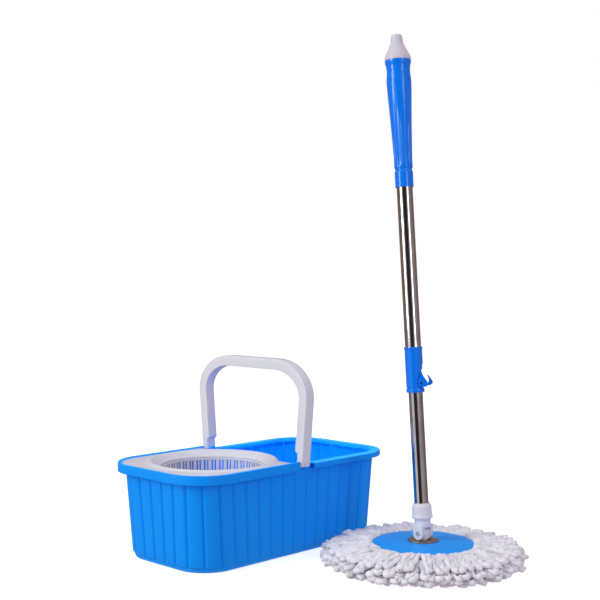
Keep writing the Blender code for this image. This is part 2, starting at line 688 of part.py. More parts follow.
def stem_nut(finish, frame):
    """Hexagon nut on the stem, under the disc's hub."""
    low, high = STEM_BOTTOM_Z, STEM_BOTTOM_Z + STEM_NUT_THICK
    nut = new_object("stem_nut", extruded(circle(STEM_NUT_R, 6), low, high), finish, frame)
    bore = extruded(circle(STEM_R + FIT, 24), low - 2, high + 2)
    boolean(nut, "cut_stem_nut", bore, "DIFFERENCE", frame)


def yarn_mat(finish, frame):
    """Soft solid that the yarn fills: it lies on the floor and swells up round the disc's edge."""
    under_disc = STEM_BOTTOM_Z + 3.0
    profile = [
        (YARN_HOLE_R, 0.0), (YARN_R - 10, 0.0), (YARN_R, 6.0), (YARN_R - 7, 15.0), (YARN_R - 28, 27.0),
        (DISC_R + 14, YARN_CROWN_Z), (DISC_R + 3, YARN_CROWN_Z - 3), (DISC_R + 0.8, under_disc + 6),
        (DISC_R - 1.0, under_disc), (YARN_HOLE_R, under_disc - 6),
    ]
    new_object("yarn_mat", turned(profile, 36), finish, frame, sharp=60)


# ---------------------------------------------------------------- pole

def pole_fork(finish, pole):
    """Connector: two ears round the pin, a neck, and the spigot that fills the lower tube's end."""
    profile = [
        (0.0, NECK_BOTTOM), (NECK_R, NECK_BOTTOM), (NECK_R, NECK_TOP), (LOWER_SPIGOT_R, NECK_TOP),
        (LOWER_SPIGOT_R, SPIGOT_TOP - 2), (LOWER_SPIGOT_R - 1.5, SPIGOT_TOP), (0.0, SPIGOT_TOP),
    ]
    fork = new_object("pole_fork", turned(profile, 24, closed=False), finish, pole)
    outline = [(EAR_R, NECK_BOTTOM + 3), (-EAR_R, NECK_BOTTOM + 3)]
    outline += [(-EAR_R * math.cos(a), -EAR_R * math.sin(a)) for a in
                (math.pi * k / 12 for k in range(13))]
    for side, name in ((-1, "left"), (1, "right")):
        low, high = sorted((side * EAR_GAP, side * EAR_OUT))
        boolean(fork, f"add_ear_{name}", cross_prism(outline, low, high), "UNION", pole)
    bore = cross_prism(circle(PIN_R + FIT, 16), -THROUGH, THROUGH)
    boolean(fork, "cut_fork_bore", bore, "DIFFERENCE", pole)


def coupling_nut(finish, pole):
    """Cap nut that clamps the lower tube to the connector."""
    bore = LOWER_TUBE_R + FIT
    low = NECK_TOP + FIT
    profile = [
        (bore, low), (NUT_R + 1.0, low), (NUT_R + 1.0, low + 4.5), (NUT_R, low + 5.5),
        (NUT_R, NUT_TOP - 4), (NUT_R - 2.2, NUT_TOP), (bore, NUT_TOP),
    ]
    new_object("coupling_nut", turned(profile, 24), finish, pole)


def rod_section(height, width, thick):
    """Corners of the twisted strip's section at a height along the pole."""
    turn = 2 * math.pi * height / ROD_PITCH
    half, deep = width / 2, thick / 2
    corners = ((half, deep), (-half, deep), (-half, -deep), (half, -deep))
    spin = Matrix.Rotation(turn, 2)
    return [(*(spin @ Vector(c)), height) for c in corners]


def twisted_strip(low, high, width, thick, full):
    """A flat strip twisted round the pole's axis, one turn for each pitch.

    Each twisted face is split so that a full strip lies outside the true surface and the other inside it.
    """
    steps = round((high - low) / (ROD_PITCH / 24))
    heights = [low + (high - low) * k / steps for k in range(steps + 1)]
    points, faces = stacked([rod_section(h, width, thick) for h in heights])
    cut = []
    for a, b, c, d in faces[2:]:
        cut += [[b, c, d], [b, d, a]] if full else [[a, b, c], [a, c, d]]
    return points, faces[:2] + cut


def drive_nut(finish, pole):
    """Nut whose twisted slot makes it turn as the rod passes through it."""
    low, high = DRIVE_NUT_BOTTOM, DRIVE_NUT_TOP
    profile = [(0.0, low), (DRIVE_NUT_R, low), (DRIVE_NUT_R, high), (0.0, high)]
    nut = new_object("drive_nut", turned(profile, 24, closed=False), finish, pole)
    slot_size = (ROD_WIDTH + 2 * RUNNING, ROD_THICK + 2 * RUNNING)
    slot = twisted_strip(low - 4, high + 4, *slot_size, full=True)
    boolean(nut, "cut_nut_slot", slot, "DIFFERENCE", pole)


def clutch_housing(finish, pole):
    """Cup at the top of the lower tube that the drive nut turns in."""
    bore = DRIVE_NUT_R + FIT
    seat = DRIVE_NUT_BOTTOM - FIT
    low = seat - 2.7
    profile = [
        (ROD_HOLE_R, low), (LOWER_SPIGOT_R, low), (LOWER_SPIGOT_R, LOWER_TUBE_TOP),
        (bore, LOWER_TUBE_TOP), (bore, seat), (ROD_HOLE_R, seat),
    ]
    new_object("clutch_housing", turned(profile, 24), finish, pole)


def clutch_cap(finish, pole):
    """Flanged cap that keeps the drive nut in its housing and guides the tube's end."""
    low, seat, top = DRIVE_NUT_TOP + FIT, LOWER_TUBE_TOP + FIT, LOWER_TUBE_TOP + 3.0
    flange = LOWER_TUBE_R + 0.1
    profile = [
        (ROD_HOLE_R, low), (DRIVE_NUT_R, low), (DRIVE_NUT_R, seat), (flange, seat),
        (flange, top), (ROD_HOLE_R, top),
    ]
    new_object("clutch_cap", turned(profile, 24), finish, pole)


def upper_rod_parts(steel, plastic, upper):
    """Twisted rod, the plug that anchors it in the upper tube, and the stop on its lower end."""
    strip = twisted_strip(ROD_BOTTOM, ROD_TOP, ROD_WIDTH, ROD_THICK, full=False)
    new_object("twisted_rod", strip, steel, upper, sharp=20)
    plug_r = UPPER_TUBE_R - TUBE_WALL - FIT
    hole = ROD_WIDTH / 2 + FIT
    plug = [
        (0.0, ROD_TOP + FIT), (hole, ROD_TOP + FIT), (hole, ROD_TOP - 8), (plug_r, ROD_TOP - 8),
        (plug_r, UPPER_TUBE_TOP - 2), (0.0, UPPER_TUBE_TOP - 2),
    ]
    new_object("rod_anchor", turned(plug, 24, closed=False), plastic, upper)
    low, high = ROD_BOTTOM - 4, ROD_BOTTOM - FIT
    stop = [(0.0, low), (STOP_R, low), (STOP_R, high), (0.0, high)]
    new_object("rod_stop", turned(stop, 20, closed=False), steel, upper)


def lock_collar(finish, collar):
    """Collar on the end of the upper tube, with a window in front for the lever's hook."""
    lower_bore = LOWER_TUBE_R + FIT
    upper_bore = UPPER_TUBE_R + FIT
    ledge = UPPER_TUBE_BOTTOM - FIT
    profile = [
        (lower_bore, COLLAR_BOTTOM), (COLLAR_RING_R, COLLAR_BOTTOM), (COLLAR_RING_R, COLLAR_BOTTOM + 5),
        (COLLAR_R - 0.7, COLLAR_BOTTOM + 5.6), (COLLAR_R - 0.7, COLLAR_BOTTOM + 7.2),
        (COLLAR_R, COLLAR_BOTTOM + 7.8), (COLLAR_R, COLLAR_TOP - 3.6), (COLLAR_RING_R, COLLAR_TOP - 3),
        (COLLAR_RING_R, COLLAR_TOP - 0.6), (COLLAR_RING_R - 0.6, COLLAR_TOP), (upper_bore, COLLAR_TOP),
        (upper_bore, ledge), (lower_bore, ledge),
    ]
    body = new_object("lock_collar", turned(profile, 24), finish, collar)
    x, z = LEVER_PIVOT
    sill, front = COLLAR_R + 0.85, COLLAR_R + 8.25
    window = [(x + 1.6, z + 18.7), (sill, z + 35), (front, z + 35), (front, z + 6), (sill, z + 6)]
    cutter = side_prism(window, -THROUGH, THROUGH)
    boolean(body, "cut_collar_window", cutter, "DIFFERENCE", collar)
    for side, name in ((-1, "left"), (1, "right")):
        low, high = sorted((side * (COLLAR_R - 3.0), side * (LEVER_ARM[0] - FIT)))
        boss = side_prism(circle(LEVER_BOSS_R, 16, LEVER_PIVOT), low, high)
        boolean(body, f"add_lever_boss_{name}", boss, "UNION", collar)
        low, high = sorted((side * LEVER_BORE_IN, side * (LEVER_ARM[0] + 2)))
        bore = side_prism(circle(LEVER_PIN_R + FIT, 12, LEVER_PIVOT), low, high)
        boolean(body, f"cut_lever_bore_{name}", bore, "DIFFERENCE", collar)


def lever_pins(finish, collar):
    """The two short pins that the lock lever turns on."""
    inner, outer = LEVER_BORE_IN + FIT, LEVER_ARM[1] + 0.6
    for side, name in ((-1, "left"), (1, "right")):
        low, high = sorted((side * inner, side * outer))
        pin = side_prism(circle(LEVER_PIN_R, 12, LEVER_PIVOT), low, high)
        new_object(f"lever_pin_{name}", pin, finish, collar)


def lock_lever(finish, pivot):
    """Yoke-shaped lever: two arms beside the collar, a bridge in front of it and a hooked finger."""
    arm = [
        (-4.6, -3.2), (-4.6, 4.0), (0.8, 15.8), (9.6, 2.2), (10.0, -1.6), (7.0, -6.0), (1.0, -6.0),
    ]
    inner, outer = LEVER_ARM
    bridge = [(6.7, -6.0), (10.2, -4.4), (10.2, -1.9), (6.7, -2.2)]
    lever = new_object("lock_lever", side_prism(bridge, -outer, outer), finish, pivot)
    for side, name in ((-1, "left"), (1, "right")):
        low, high = sorted((side * inner, side * outer))
        boolean(lever, f"add_arm_{name}", side_prism(arm, low, high), "UNION", pivot)
    finger = [
        (8.0, -5.0), (16.0, -4.2), (19.2, -1.6), (19.4, 2.0), (11.8, 14.2), (14.6, 3.2),
        (13.2, -0.6), (8.0, -2.2),
    ]
    hook = side_prism(finger, -FINGER_HALF, FINGER_HALF)
    boolean(lever, "add_finger", hook, "UNION", pivot)
    bore = side_prism(circle(LEVER_PIN_R + FIT, 12), -THROUGH, THROUGH)
    boolean(lever, "cut_lever_pin", bore, "DIFFERENCE", pivot)


def grip_profile():
    """Outer (r, height) of the grip from its lower collar to its top edge."""
    span = GRIP_TOP - GRIP_BOTTOM
    neck, low, top = GRIP_NECK_R, GRIP_BOTTOM, GRIP_TOP
    return [
        (neck, low), (neck + 0.2, low + 24), (neck - 1.0, low + 26), (neck - 1.0, low + 29),
        (neck + 0.3, low + 31), (neck + 0.2, low + 44), (neck + 2.2, low + span * 0.48),
        (GRIP_BULGE_R - 0.6, low + span * 0.74), (GRIP_BULGE_R, low + span * 0.84),
        (GRIP_WAIST_R, top - 18), (GRIP_WAIST_R + 0.6, top - 9), (GRIP_TOP_R, top - 3),
        (GRIP_TOP_R, top),
    ]


def handle_grip(finish, upper):
    """Moulded grip pushed over the upper tube."""
    bore = UPPER_TUBE_R + FIT
    profile = grip_profile() + [(bore, GRIP_TOP), (bore, GRIP_BOTTOM)]
    new_object("handle_grip", turned(profile, 24), finish, upper)


def grip_cap(finish, upper):
    """End cap with the hanging knob, plugged into the grip."""
    spigot = UPPER_TUBE_R - 0.4
    low = GRIP_TOP + FIT
    profile = [
        (0.0, low - 12), (spigot, low - 12), (spigot, low), (GRIP_TOP_R - 0.5, low),
        (GRIP_TOP_R - 0.5, low + 4), (GRIP_TOP_R - 2.5, low + 9), (CAP_KNOB_R + 3.5, low + 20),
        (CAP_KNOB_R + 0.6, low + 28), (CAP_KNOB_R, CAP_TOP - 5), (CAP_KNOB_R - 1.2, CAP_TOP - 2),
        (CAP_KNOB_R - 4, CAP_TOP), (0.0, CAP_TOP),
    ]
    new_object("grip_cap", turned(profile, 24, closed=False), finish, upper)


# ---------------------------------------------------------------- assembly

def build_bucket():
    """The bucket, its bail, and the tray, basket and spindle at its left end."""
    blue = material("bucket blue", BLUE, 0.35)
    white = material("bucket white", WHITE, 0.4)
    steel = material("bucket steel", STEEL, 0.3, 1.0)
    bucket_tub(blue)
    bail_axis = empty("bail_axis", (0, 0, BAIL_PIVOT_Z))
    bail_handle(white, bail_axis)
    bail_pins(white, bail_axis)
    basket_axis = empty("basket_axis", (BASKET_X, 0, 0))
    basket_tray(white, basket_axis)
    spin_basket(white, basket_axis)
    basket_hub(white, basket_axis)
    basket_spindle(steel, basket_axis)
    low = SPINDLE_SEAT_Z + FIT
    ring_piece("thrust_washer", SPINDLE_R + FIT, THRUST_WASHER_R, low, low + THRUST_WASHER_THICK,
               steel, basket_axis, 20)


def build_head(head):
    """Disc, yarn and the tongue of the tilting joint."""
    blue = material("head blue", BLUE, 0.35)
    white = material("head white", WHITE, 0.4)
    steel = material("head steel", STEEL, 0.25, 1.0)
    mop_disc(blue, head)
    tilt_knuckle(white, head)
    top = DISC_CENTRE_Z + FIT
    ring_piece("disc_washer", STEM_R + FIT, WASHER_R, top, top + WASHER_THICK, steel, head, 28)
    stem_nut(steel, head)
    inner, outer = RING_HOLDER_R
    low, high = STEM_BOTTOM_Z + 4.3, DISC_EDGE_Z - DISC_THICK - FIT
    ring_piece("yarn_ring", inner, outer, low, high, white, head, 28)
    yarn_mat(material("yarn", YARN, 0.9), head)
    pin = cross_prism(circle(PIN_R, 16, (0, PIN_Z)), -EAR_OUT, EAR_OUT)
    new_object("tilt_pin", pin, steel, head)


def build_pole(pole):
    """Lower half of the pole, with the drive nut in its top."""
    white = material("pole white", WHITE, 0.4)
    chrome = material("lower chrome", STEEL, 0.12, 1.0)
    black = material("clutch black", BLACK, 0.5)
    pole_fork(white, pole)
    coupling_nut(white, pole)
    ring_piece("lower_tube", LOWER_TUBE_R - TUBE_WALL, LOWER_TUBE_R, NECK_TOP + FIT,
               LOWER_TUBE_TOP, chrome, pole)
    clutch_housing(black, pole)
    clutch_cap(black, pole)
    drive_nut(white, pole)


def build_handle(pole):
    """Upper half of the pole, which slides: tube, rod, collar, lever, grip and cap."""
    blue = material("handle blue", BLUE, 0.3)
    white = material("handle white", WHITE, 0.4)
    chrome = material("upper chrome", STEEL, 0.12, 1.0)
    black = material("anchor black", BLACK, 0.5)
    ring_piece("upper_tube", UPPER_TUBE_R - TUBE_WALL, UPPER_TUBE_R, UPPER_TUBE_BOTTOM,
               UPPER_TUBE_TOP, chrome, pole)
    upper_rod_parts(chrome, black, pole)
    handle_grip(blue, pole)
    grip_cap(white, pole)
    collar = empty("collar_frame", (0, 0, 0), pole, (0.0, 0.0, COLLAR_TURN))
    lock_collar(blue, collar)
    lever_pins(chrome, collar)
    pivot = empty("lever_pivot", (LEVER_PIVOT[0], 0, LEVER_PIVOT[1]), collar)
    lock_lever(blue, pivot)


def main():
    """Clear the scene and build every piece."""
    for old in list(bpy.data.objects):
        bpy.data.objects.remove(old, do_unlink=True)
    build_bucket()
    head = empty("mop_head", (MOP_X, MOP_Y, 0))
    build_head(head)
    pole = empty("tilt_axis", (0, 0, PIN_Z), head, (POLE_LEAN, 0.0, 0.0))
    build_pole(pole)
    build_handle(pole)


main()
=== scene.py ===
"""The looks of a spin mop and its wringing bucket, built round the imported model.

Lengths are millimetres in the frame of the bucket's base until a Piece turns them into metres.
The pole's pieces are built upright on the tilt pin and then placed by POLE.
"""

import logging
import math
import random
from dataclasses import dataclass
from enum import Enum

import bmesh
import bpy
from mathutils import Matrix, Vector


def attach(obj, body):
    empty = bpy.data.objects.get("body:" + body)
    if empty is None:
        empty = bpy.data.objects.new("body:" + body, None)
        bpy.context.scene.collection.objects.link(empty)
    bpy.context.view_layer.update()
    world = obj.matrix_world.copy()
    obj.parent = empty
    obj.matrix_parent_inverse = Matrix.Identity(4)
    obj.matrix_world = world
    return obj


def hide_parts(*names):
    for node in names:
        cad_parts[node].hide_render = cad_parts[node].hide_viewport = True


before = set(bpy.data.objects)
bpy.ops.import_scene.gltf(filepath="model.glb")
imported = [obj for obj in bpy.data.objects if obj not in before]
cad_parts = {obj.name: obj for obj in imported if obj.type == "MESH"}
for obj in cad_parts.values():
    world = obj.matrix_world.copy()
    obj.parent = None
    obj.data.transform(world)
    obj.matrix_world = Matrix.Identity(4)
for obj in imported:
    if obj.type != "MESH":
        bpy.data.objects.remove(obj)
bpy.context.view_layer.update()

MM = 0.001
Point = tuple[float, float, float]
Outline = list[tuple[float, float]]
Colour = tuple[float, float, float]
log = logging.getLogger("spin_mop")

MOP_CENTRE = (90.0, -286.0)
PIN_Z = 49.0
POLE_LEAN = math.radians(-4.1)
COLLAR_TURN = math.radians(-45.4)
BASKET_X = -91.6
HEAD = Matrix.Translation((*MOP_CENTRE, 0.0))
POLE = Matrix.Translation((*MOP_CENTRE, PIN_Z)) @ Matrix.Rotation(POLE_LEAN, 4, "X")
COLLAR = POLE @ Matrix.Rotation(COLLAR_TURN, 4, "Z")
BASKET = Matrix.Translation((BASKET_X, 0.0, 0.0))
# An (x, y) outline extruded along z, laid down to read (x, z) along -y, or (y, z) along x.
SIDEWAYS = Matrix(((1, 0, 0, 0), (0, 0, -1, 0), (0, 1, 0, 0), (0, 0, 0, 1)))
CROSSWAYS = Matrix(((0, 0, 1, 0), (1, 0, 0, 0), (0, 1, 0, 0), (0, 0, 0, 1)))


class Body(Enum):
    """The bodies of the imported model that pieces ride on."""

    BUCKET = "bucket"
    BAIL = "bail"
    BASKET = "basket"
    HEAD = "mop_head"
    LOWER_POLE = "lower_pole"
    UPPER_POLE = "upper_pole"
    LEVER = "lever"


class Slot(Enum):
    """The record's material slots."""

    BUCKET_BLUE = "bucket_blue"
    HANDLE_BLUE = "handle_blue"
    WHITE = "white_plastic"
    CHROME = "chrome_tube"
    STEEL = "steel_fittings"
    YARN = "mop_yarn"


# ---------------------------------------------------------------- shapes


@dataclass
class Shape:
    """Points in millimetres and the faces that join them."""

    points: list[Point]
    faces: list[tuple[int, ...]]

    def placed(self, matrix: Matrix) -> "Shape":
        """The same shape carried by a matrix."""
        return Shape([tuple(matrix @ Vector(p)) for p in self.points], self.faces)

    def beside(self, *others: "Shape") -> "Shape":
        """This shape and the others as one."""
        points, faces = list(self.points), list(self.faces)
        for other in others:
            start = len(points)
            points += other.points
            faces += [tuple(i + start for i in face) for face in other.faces]
        return Shape(points, faces)


def loft(loops: list[list[Point]], ring: bool = False, caps: bool = True) -> Shape:
    """Skin a row of closed loops.

    Args:
        loops: Loops with the same number of points each.
        ring: Whether the last loop joins the first.
        caps: Whether a flat face closes each end.

    Returns:
        The skinned shape.
    """
    count = len(loops[0])
    rows = [range(k * count, (k + 1) * count) for k in range(len(loops))]
    pairs = list(zip(rows, rows[1:])) + ([(rows[-1], rows[0])] if ring else [])
    faces = [
        (low[k], low[(k + 1) % count], high[(k + 1) % count], high[k])
        for low, high in pairs
        for k in range(count)
    ]
    if caps and not ring:
        faces += [tuple(reversed(rows[0])), tuple(rows[-1])]
    return Shape([p for loop in loops for p in loop], faces)


def level(radius: float, z: float, segments: int) -> list[Point]:
    """Points round the axis at one height."""
    turns = [2 * math.pi * k / segments for k in range(segments)]
    return [(radius * math.cos(a), radius * math.sin(a), z) for a in turns]


def lathe(profile: Outline, segments: int = 96, closed: bool = True) -> Shape:
    """Turn an (r, z) outline round Z.

    Args:
        profile: The outline. An open one starts and ends on the axis.
        segments: Steps round the axis.
        closed: Whether the outline joins up.

    Returns:
        The turned shape.
    """
    return loft([level(r, z, segments) for r, z in profile], ring=closed, caps=False)


def circle(radius: float, segments: int = 32, centre: tuple[float, float] = (0.0, 0.0)) -> Outline:
    """Points round a circle."""
    turns = [2 * math.pi * k / segments for k in range(segments)]
    return [(centre[0] + radius * math.cos(a), centre[1] + radius * math.sin(a)) for a in turns]


def half_circle(radius: float, z: float, sign: int) -> Outline:
    """Points over the top of a circle at a height, or under it and the other way round if sign is -1."""
    turns = [math.pi * k / 28 for k in range(29)]
    return [(sign * radius * math.cos(a), z + sign * radius * math.sin(a)) for a in turns]


def prism(outline: Outline, low: float, high: float, lay: Matrix | None = None) -> Shape:
    """Extrude an outline.

    Args:
        outline: The outline, as (x, y), or as SIDEWAYS or CROSSWAYS lays it.
        low: Where it starts along its axis.
        high: Where it ends.
        lay: SIDEWAYS or CROSSWAYS, or nothing to leave it upright.

    Returns:
        The solid, with both ends closed.
    """
    if lay is SIDEWAYS:
        low, high = -high, -low
    made = loft([[(x, y, z) for x, y in outline] for z in (low, high)])
    return made.placed(lay) if lay else made


def softened(outline: Outline, radius: float, steps: int = 3, closed: bool = True) -> Outline:
    """Round each corner of an outline as far as its sides leave room.

    Args:
        outline: The corners.
        radius: Radius of the rounding.
        steps: Steps round each corner; every corner gets the same number of points.
        closed: Whether the outline joins up. An open one keeps its two ends.

    Returns:
        The outline with rounded corners.
    """
    made = []
    for k, corner in enumerate(outline):
        if not closed and k in (0, len(outline) - 1):
            made.append(corner)
            continue
        here = Vector(corner)
        before = Vector(outline[k - 1]) - here
        after = Vector(outline[(k + 1) % len(outline)]) - here
        reach = radius / max(math.tan(before.angle(after) / 2), 1e-6)
        reach = max(min(reach, before.length * 0.45, after.length * 0.45), 0.01)
        start, end = here + before.normalized() * reach, here + after.normalized() * reach
        for step in range(steps + 1):
            t = step / steps
            point = start * (1 - t) ** 2 + here * 2 * t * (1 - t) + end * t * t
            made.append((point.x, point.y))
    return made


def dense(outline: Outline, step: float) -> Outline:
    """Add points to an outline.

    Args:
        outline: The (r, z) outline.
        step: About how far apart in height its points may be.

    Returns:
        The outline with its own points and those between them.
    """
    made = []
    for (r0, z0), (r1, z1) in zip(outline, outline[1:]):
        steps = max(1, int(abs(z1 - z0) / step))
        made += [(r0 + (r1 - r0) * k / steps, z0 + (z1 - z0) * k / steps) for k in range(steps)]
    return [*made, outline[-1]]


def sided(side: int, near: float, far: float) -> tuple[float, float]:
    """The (low, high) ends of a span on one side of the middle."""
    low, high = sorted((side * near, side * far))
    return low, high


def smooth(low: float, high: float, value: float) -> float:
    """A ramp from 0 at low to 1 at high with soft ends."""
    t = min(1.0, max(0.0, (value - low) / (high - low)))
    return t * t * (3 - 2 * t)


class Piece:
    """A mesh object while it is being made."""

    def __init__(self, name: str, shape: Shape, place: Matrix | None = None) -> None:
        """Link the shape as an object.

        Args:
            name: The piece's name.
            shape: Its shape in millimetres.
            place: Where it stands, if the shape isn't there already.
        """
        placed = shape.placed(place) if place else shape
        mesh = bpy.data.meshes.new(name)
        mesh.from_pydata([(x * MM, y * MM, z * MM) for x, y, z in placed.points], [], placed.faces)
        self.place = place
        self.object = bpy.data.objects.new(name, mesh)
        bpy.context.scene.collection.objects.link(self.object)
        if placed.faces:
            self.mend()

    def mend(self) -> None:
        """Merge doubled points and turn the faces outwards."""
        work = bmesh.new()
        work.from_mesh(self.object.data)
        bmesh.ops.remove_doubles(work, verts=work.verts, dist=2e-6)
        bmesh.ops.dissolve_degenerate(work, edges=work.edges, dist=1e-6)
        bmesh.ops.recalc_face_normals(work, faces=work.faces)
        work.to_mesh(self.object.data)
        work.free()

    def settle(self) -> None:
        """Turn the live modifiers into the mesh itself."""
        bpy.context.view_layer.update()
        graph = bpy.context.evaluated_depsgraph_get()
        made = bpy.data.meshes.new_from_object(self.object.evaluated_get(graph), depsgraph=graph)
        self.object.modifiers.clear()
        old, self.object.data = self.object.data, made
        name = old.name
        bpy.data.meshes.remove(old)
        made.name = name

    def modified(self, kind: str, **settings: object) -> "Piece":
        """Add one modifier and apply it.

        Args:
            kind: Blender's name of the modifier.
            settings: Its properties.

        Returns:
            The piece.
        """
        step = self.object.modifiers.new(kind.title(), kind)
        for key, value in settings.items():
            setattr(step, key, value)
        self.settle()
        return self

    def combined(self, operation: str, shape: Shape) -> "Piece":
        """Cut a shape away or join one on.

        Args:
            operation: DIFFERENCE or UNION.
            shape: The other shape, in the piece's own place.

        Returns:
            The piece.
        """
        helper = Piece("helper", shape, self.place)
        self.modified("BOOLEAN", operation=operation, object=helper.object, solver="EXACT")
        bpy.data.objects.remove(helper.object, do_unlink=True)
        return self

    def cut(self, *shapes: Shape) -> "Piece":
        """Cut shapes away."""
        for shape in shapes:
            self.combined("DIFFERENCE", shape)
        return self

    def joined(self, *shapes: Shape) -> "Piece":
        """Join shapes on."""
        for shape in shapes:
            self.combined("UNION", shape)
        return self

    def bevelled(self, width: float, angle: float = 40.0, segments: int = 2) -> "Piece":
        """Round the sharp edges.

        Args:
            width: Width of the rounding in millimetres.
            angle: Edges that turn by more degrees than this are rounded.
            segments: Faces across the rounding.

        Returns:
            The piece.
        """
        return self.modified(
            "BEVEL", width=width * MM, segments=segments, limit_method="ANGLE",
            angle_limit=math.radians(angle), use_clamp_overlap=True, harden_normals=False,
        )

    def grown(self, recipe: "Recipe", **inputs: object) -> "Piece":
        """Run a Geometry Nodes recipe and keep the mesh that it makes.

        Args:
            recipe: The recipe.
            inputs: Values of its named inputs.

        Returns:
            The piece.
        """
        step = self.object.modifiers.new("Grow", "NODES")
        step.node_group = recipe.tree
        for label, value in inputs.items():
            step[recipe.identifiers[label]] = value
        self.settle()
        return self

    def ready(self, finish: bpy.types.Material, body: Body, slot: Slot, *stands_for: str,
              sharp: float = 50.0) -> bpy.types.Object:
        """Dress the piece and hand it to its body.

        Args:
            finish: Its material.
            body: The body that it rides on.
            slot: The record's slot for its finish; not used.
            stands_for: CAD nodes that it replaces.
            sharp: Edges that turn by more degrees than this stay sharp.

        Returns:
            The finished object.
        """
        mesh = self.object.data
        mesh.materials.clear()
        mesh.materials.append(finish)
        mesh.shade_smooth()
        mesh.set_sharp_from_angle(angle=math.radians(sharp))
        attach(self.object, body.value)
        if stands_for:
            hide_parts(*stands_for)
        log.info("%s: %d faces on %s", self.object.name, len(mesh.polygons), body.value)
        return self.object


# ---------------------------------------------------------------- node trees


class Wires:
    """Adds nodes to any tree and links them."""

    def __init__(self, tree: bpy.types.NodeTree) -> None:
        """Work on a tree."""
        self.tree = tree

    def node(self, kind: str, settings: dict | None = None,
             sockets: dict | None = None) -> bpy.types.Node:
        """Add one node.

        Args:
            kind: The node's type.
            settings: Its properties, and "stops" for a ramp, which are set first.
            sockets: Values or links of its inputs, by name or number.

        Returns:
            The node.
        """
        made = self.tree.nodes.new(kind)
        for key, value in (settings or {}).items():
            if key == "stops":
                ramp = made.color_ramp
                while len(ramp.elements) < len(value):
                    ramp.elements.new(1.0)
                for element, (place, colour) in zip(ramp.elements, value):
                    element.position = place
                for element, (place, colour) in zip(ramp.elements, value):
                    element.color = (*colour, 1.0)
            else:
                setattr(made, key, value)
        for key, value in (sockets or {}).items():
            self.feed(made.inputs[key], value)
        return made

    def feed(self, socket: bpy.types.NodeSocket, value: object) -> None:
        """Set a socket, or link something to it.

        Args:
            socket: The input socket.
            value: A number, a colour, a Number or an output socket.
        """
        if isinstance(value, Number):
            self.tree.links.new(value.socket, socket)
        elif isinstance(value, bpy.types.NodeSocket):
            self.tree.links.new(value, socket)
        elif isinstance(value, tuple) and len(value) == 3 and socket.type == "RGBA":
            socket.default_value = (*value, 1.0)
        else:
            socket.default_value = value

    def maths(self, operation: str, *values: object) -> "Number":
        """A Math node on numbers."""
        made = self.node("ShaderNodeMath", {"operation": operation}, dict(enumerate(values)))
        return Number(self, made.outputs[0])

    def ramp(self, factor: object, stops: list[tuple[float, Colour]]) -> bpy.types.NodeSocket:
        """A colour ramp."""
        return self.node("ShaderNodeValToRGB", {"stops": stops}, {"Fac": factor}).outputs["Color"]

    def mix(self, factor: object, first: object, second: object) -> bpy.types.NodeSocket:
        """Mix two colours.

        Args:
            factor: Share of the second.
            first: The first colour.
            second: The second colour.

        Returns:
            The mixed colour's socket.
        """
        made = self.node("ShaderNodeMix", {"data_type": "RGBA"})
        self.feed(made.inputs["Factor"], factor)
        self.feed(made.inputs[6], first)
        self.feed(made.inputs[7], second)
        return made.outputs[2]


class Number:
    """A number socket on which Python's operators add Math nodes."""

    def __init__(self, wires: Wires, socket: bpy.types.NodeSocket) -> None:
        """Wrap a socket."""
        self.wires = wires
        self.socket = socket

    def __add__(self, other: object) -> "Number":
        """self + other."""
        return self.wires.maths("ADD", self, other)

    def __radd__(self, other: object) -> "Number":
        """other + self."""
        return self.wires.maths("ADD", other, self)

    def __sub__(self, other: object) -> "Number":
        """self - other."""
        return self.wires.maths("SUBTRACT", self, other)

    def __mul__(self, other: object) -> "Number":
        """self * other."""
        return self.wires.maths("MULTIPLY", self, other)

    def __truediv__(self, other: object) -> "Number":
        """self / other."""
        return self.wires.maths("DIVIDE", self, other)

    def __pow__(self, other: object) -> "Number":
        """self ** other."""
        return self.wires.maths("POWER", self, other)

    def ramped(self, low: float, high: float) -> "Number":
        """0 at low and 1 at high, with soft ends."""
        made = self.wires.node(
            "ShaderNodeMapRange", {"interpolation_type": "SMOOTHSTEP"},
            {"Value": self, "From Min": low, "From Max": high},
        )
        return Number(self.wires, made.outputs["Result"])


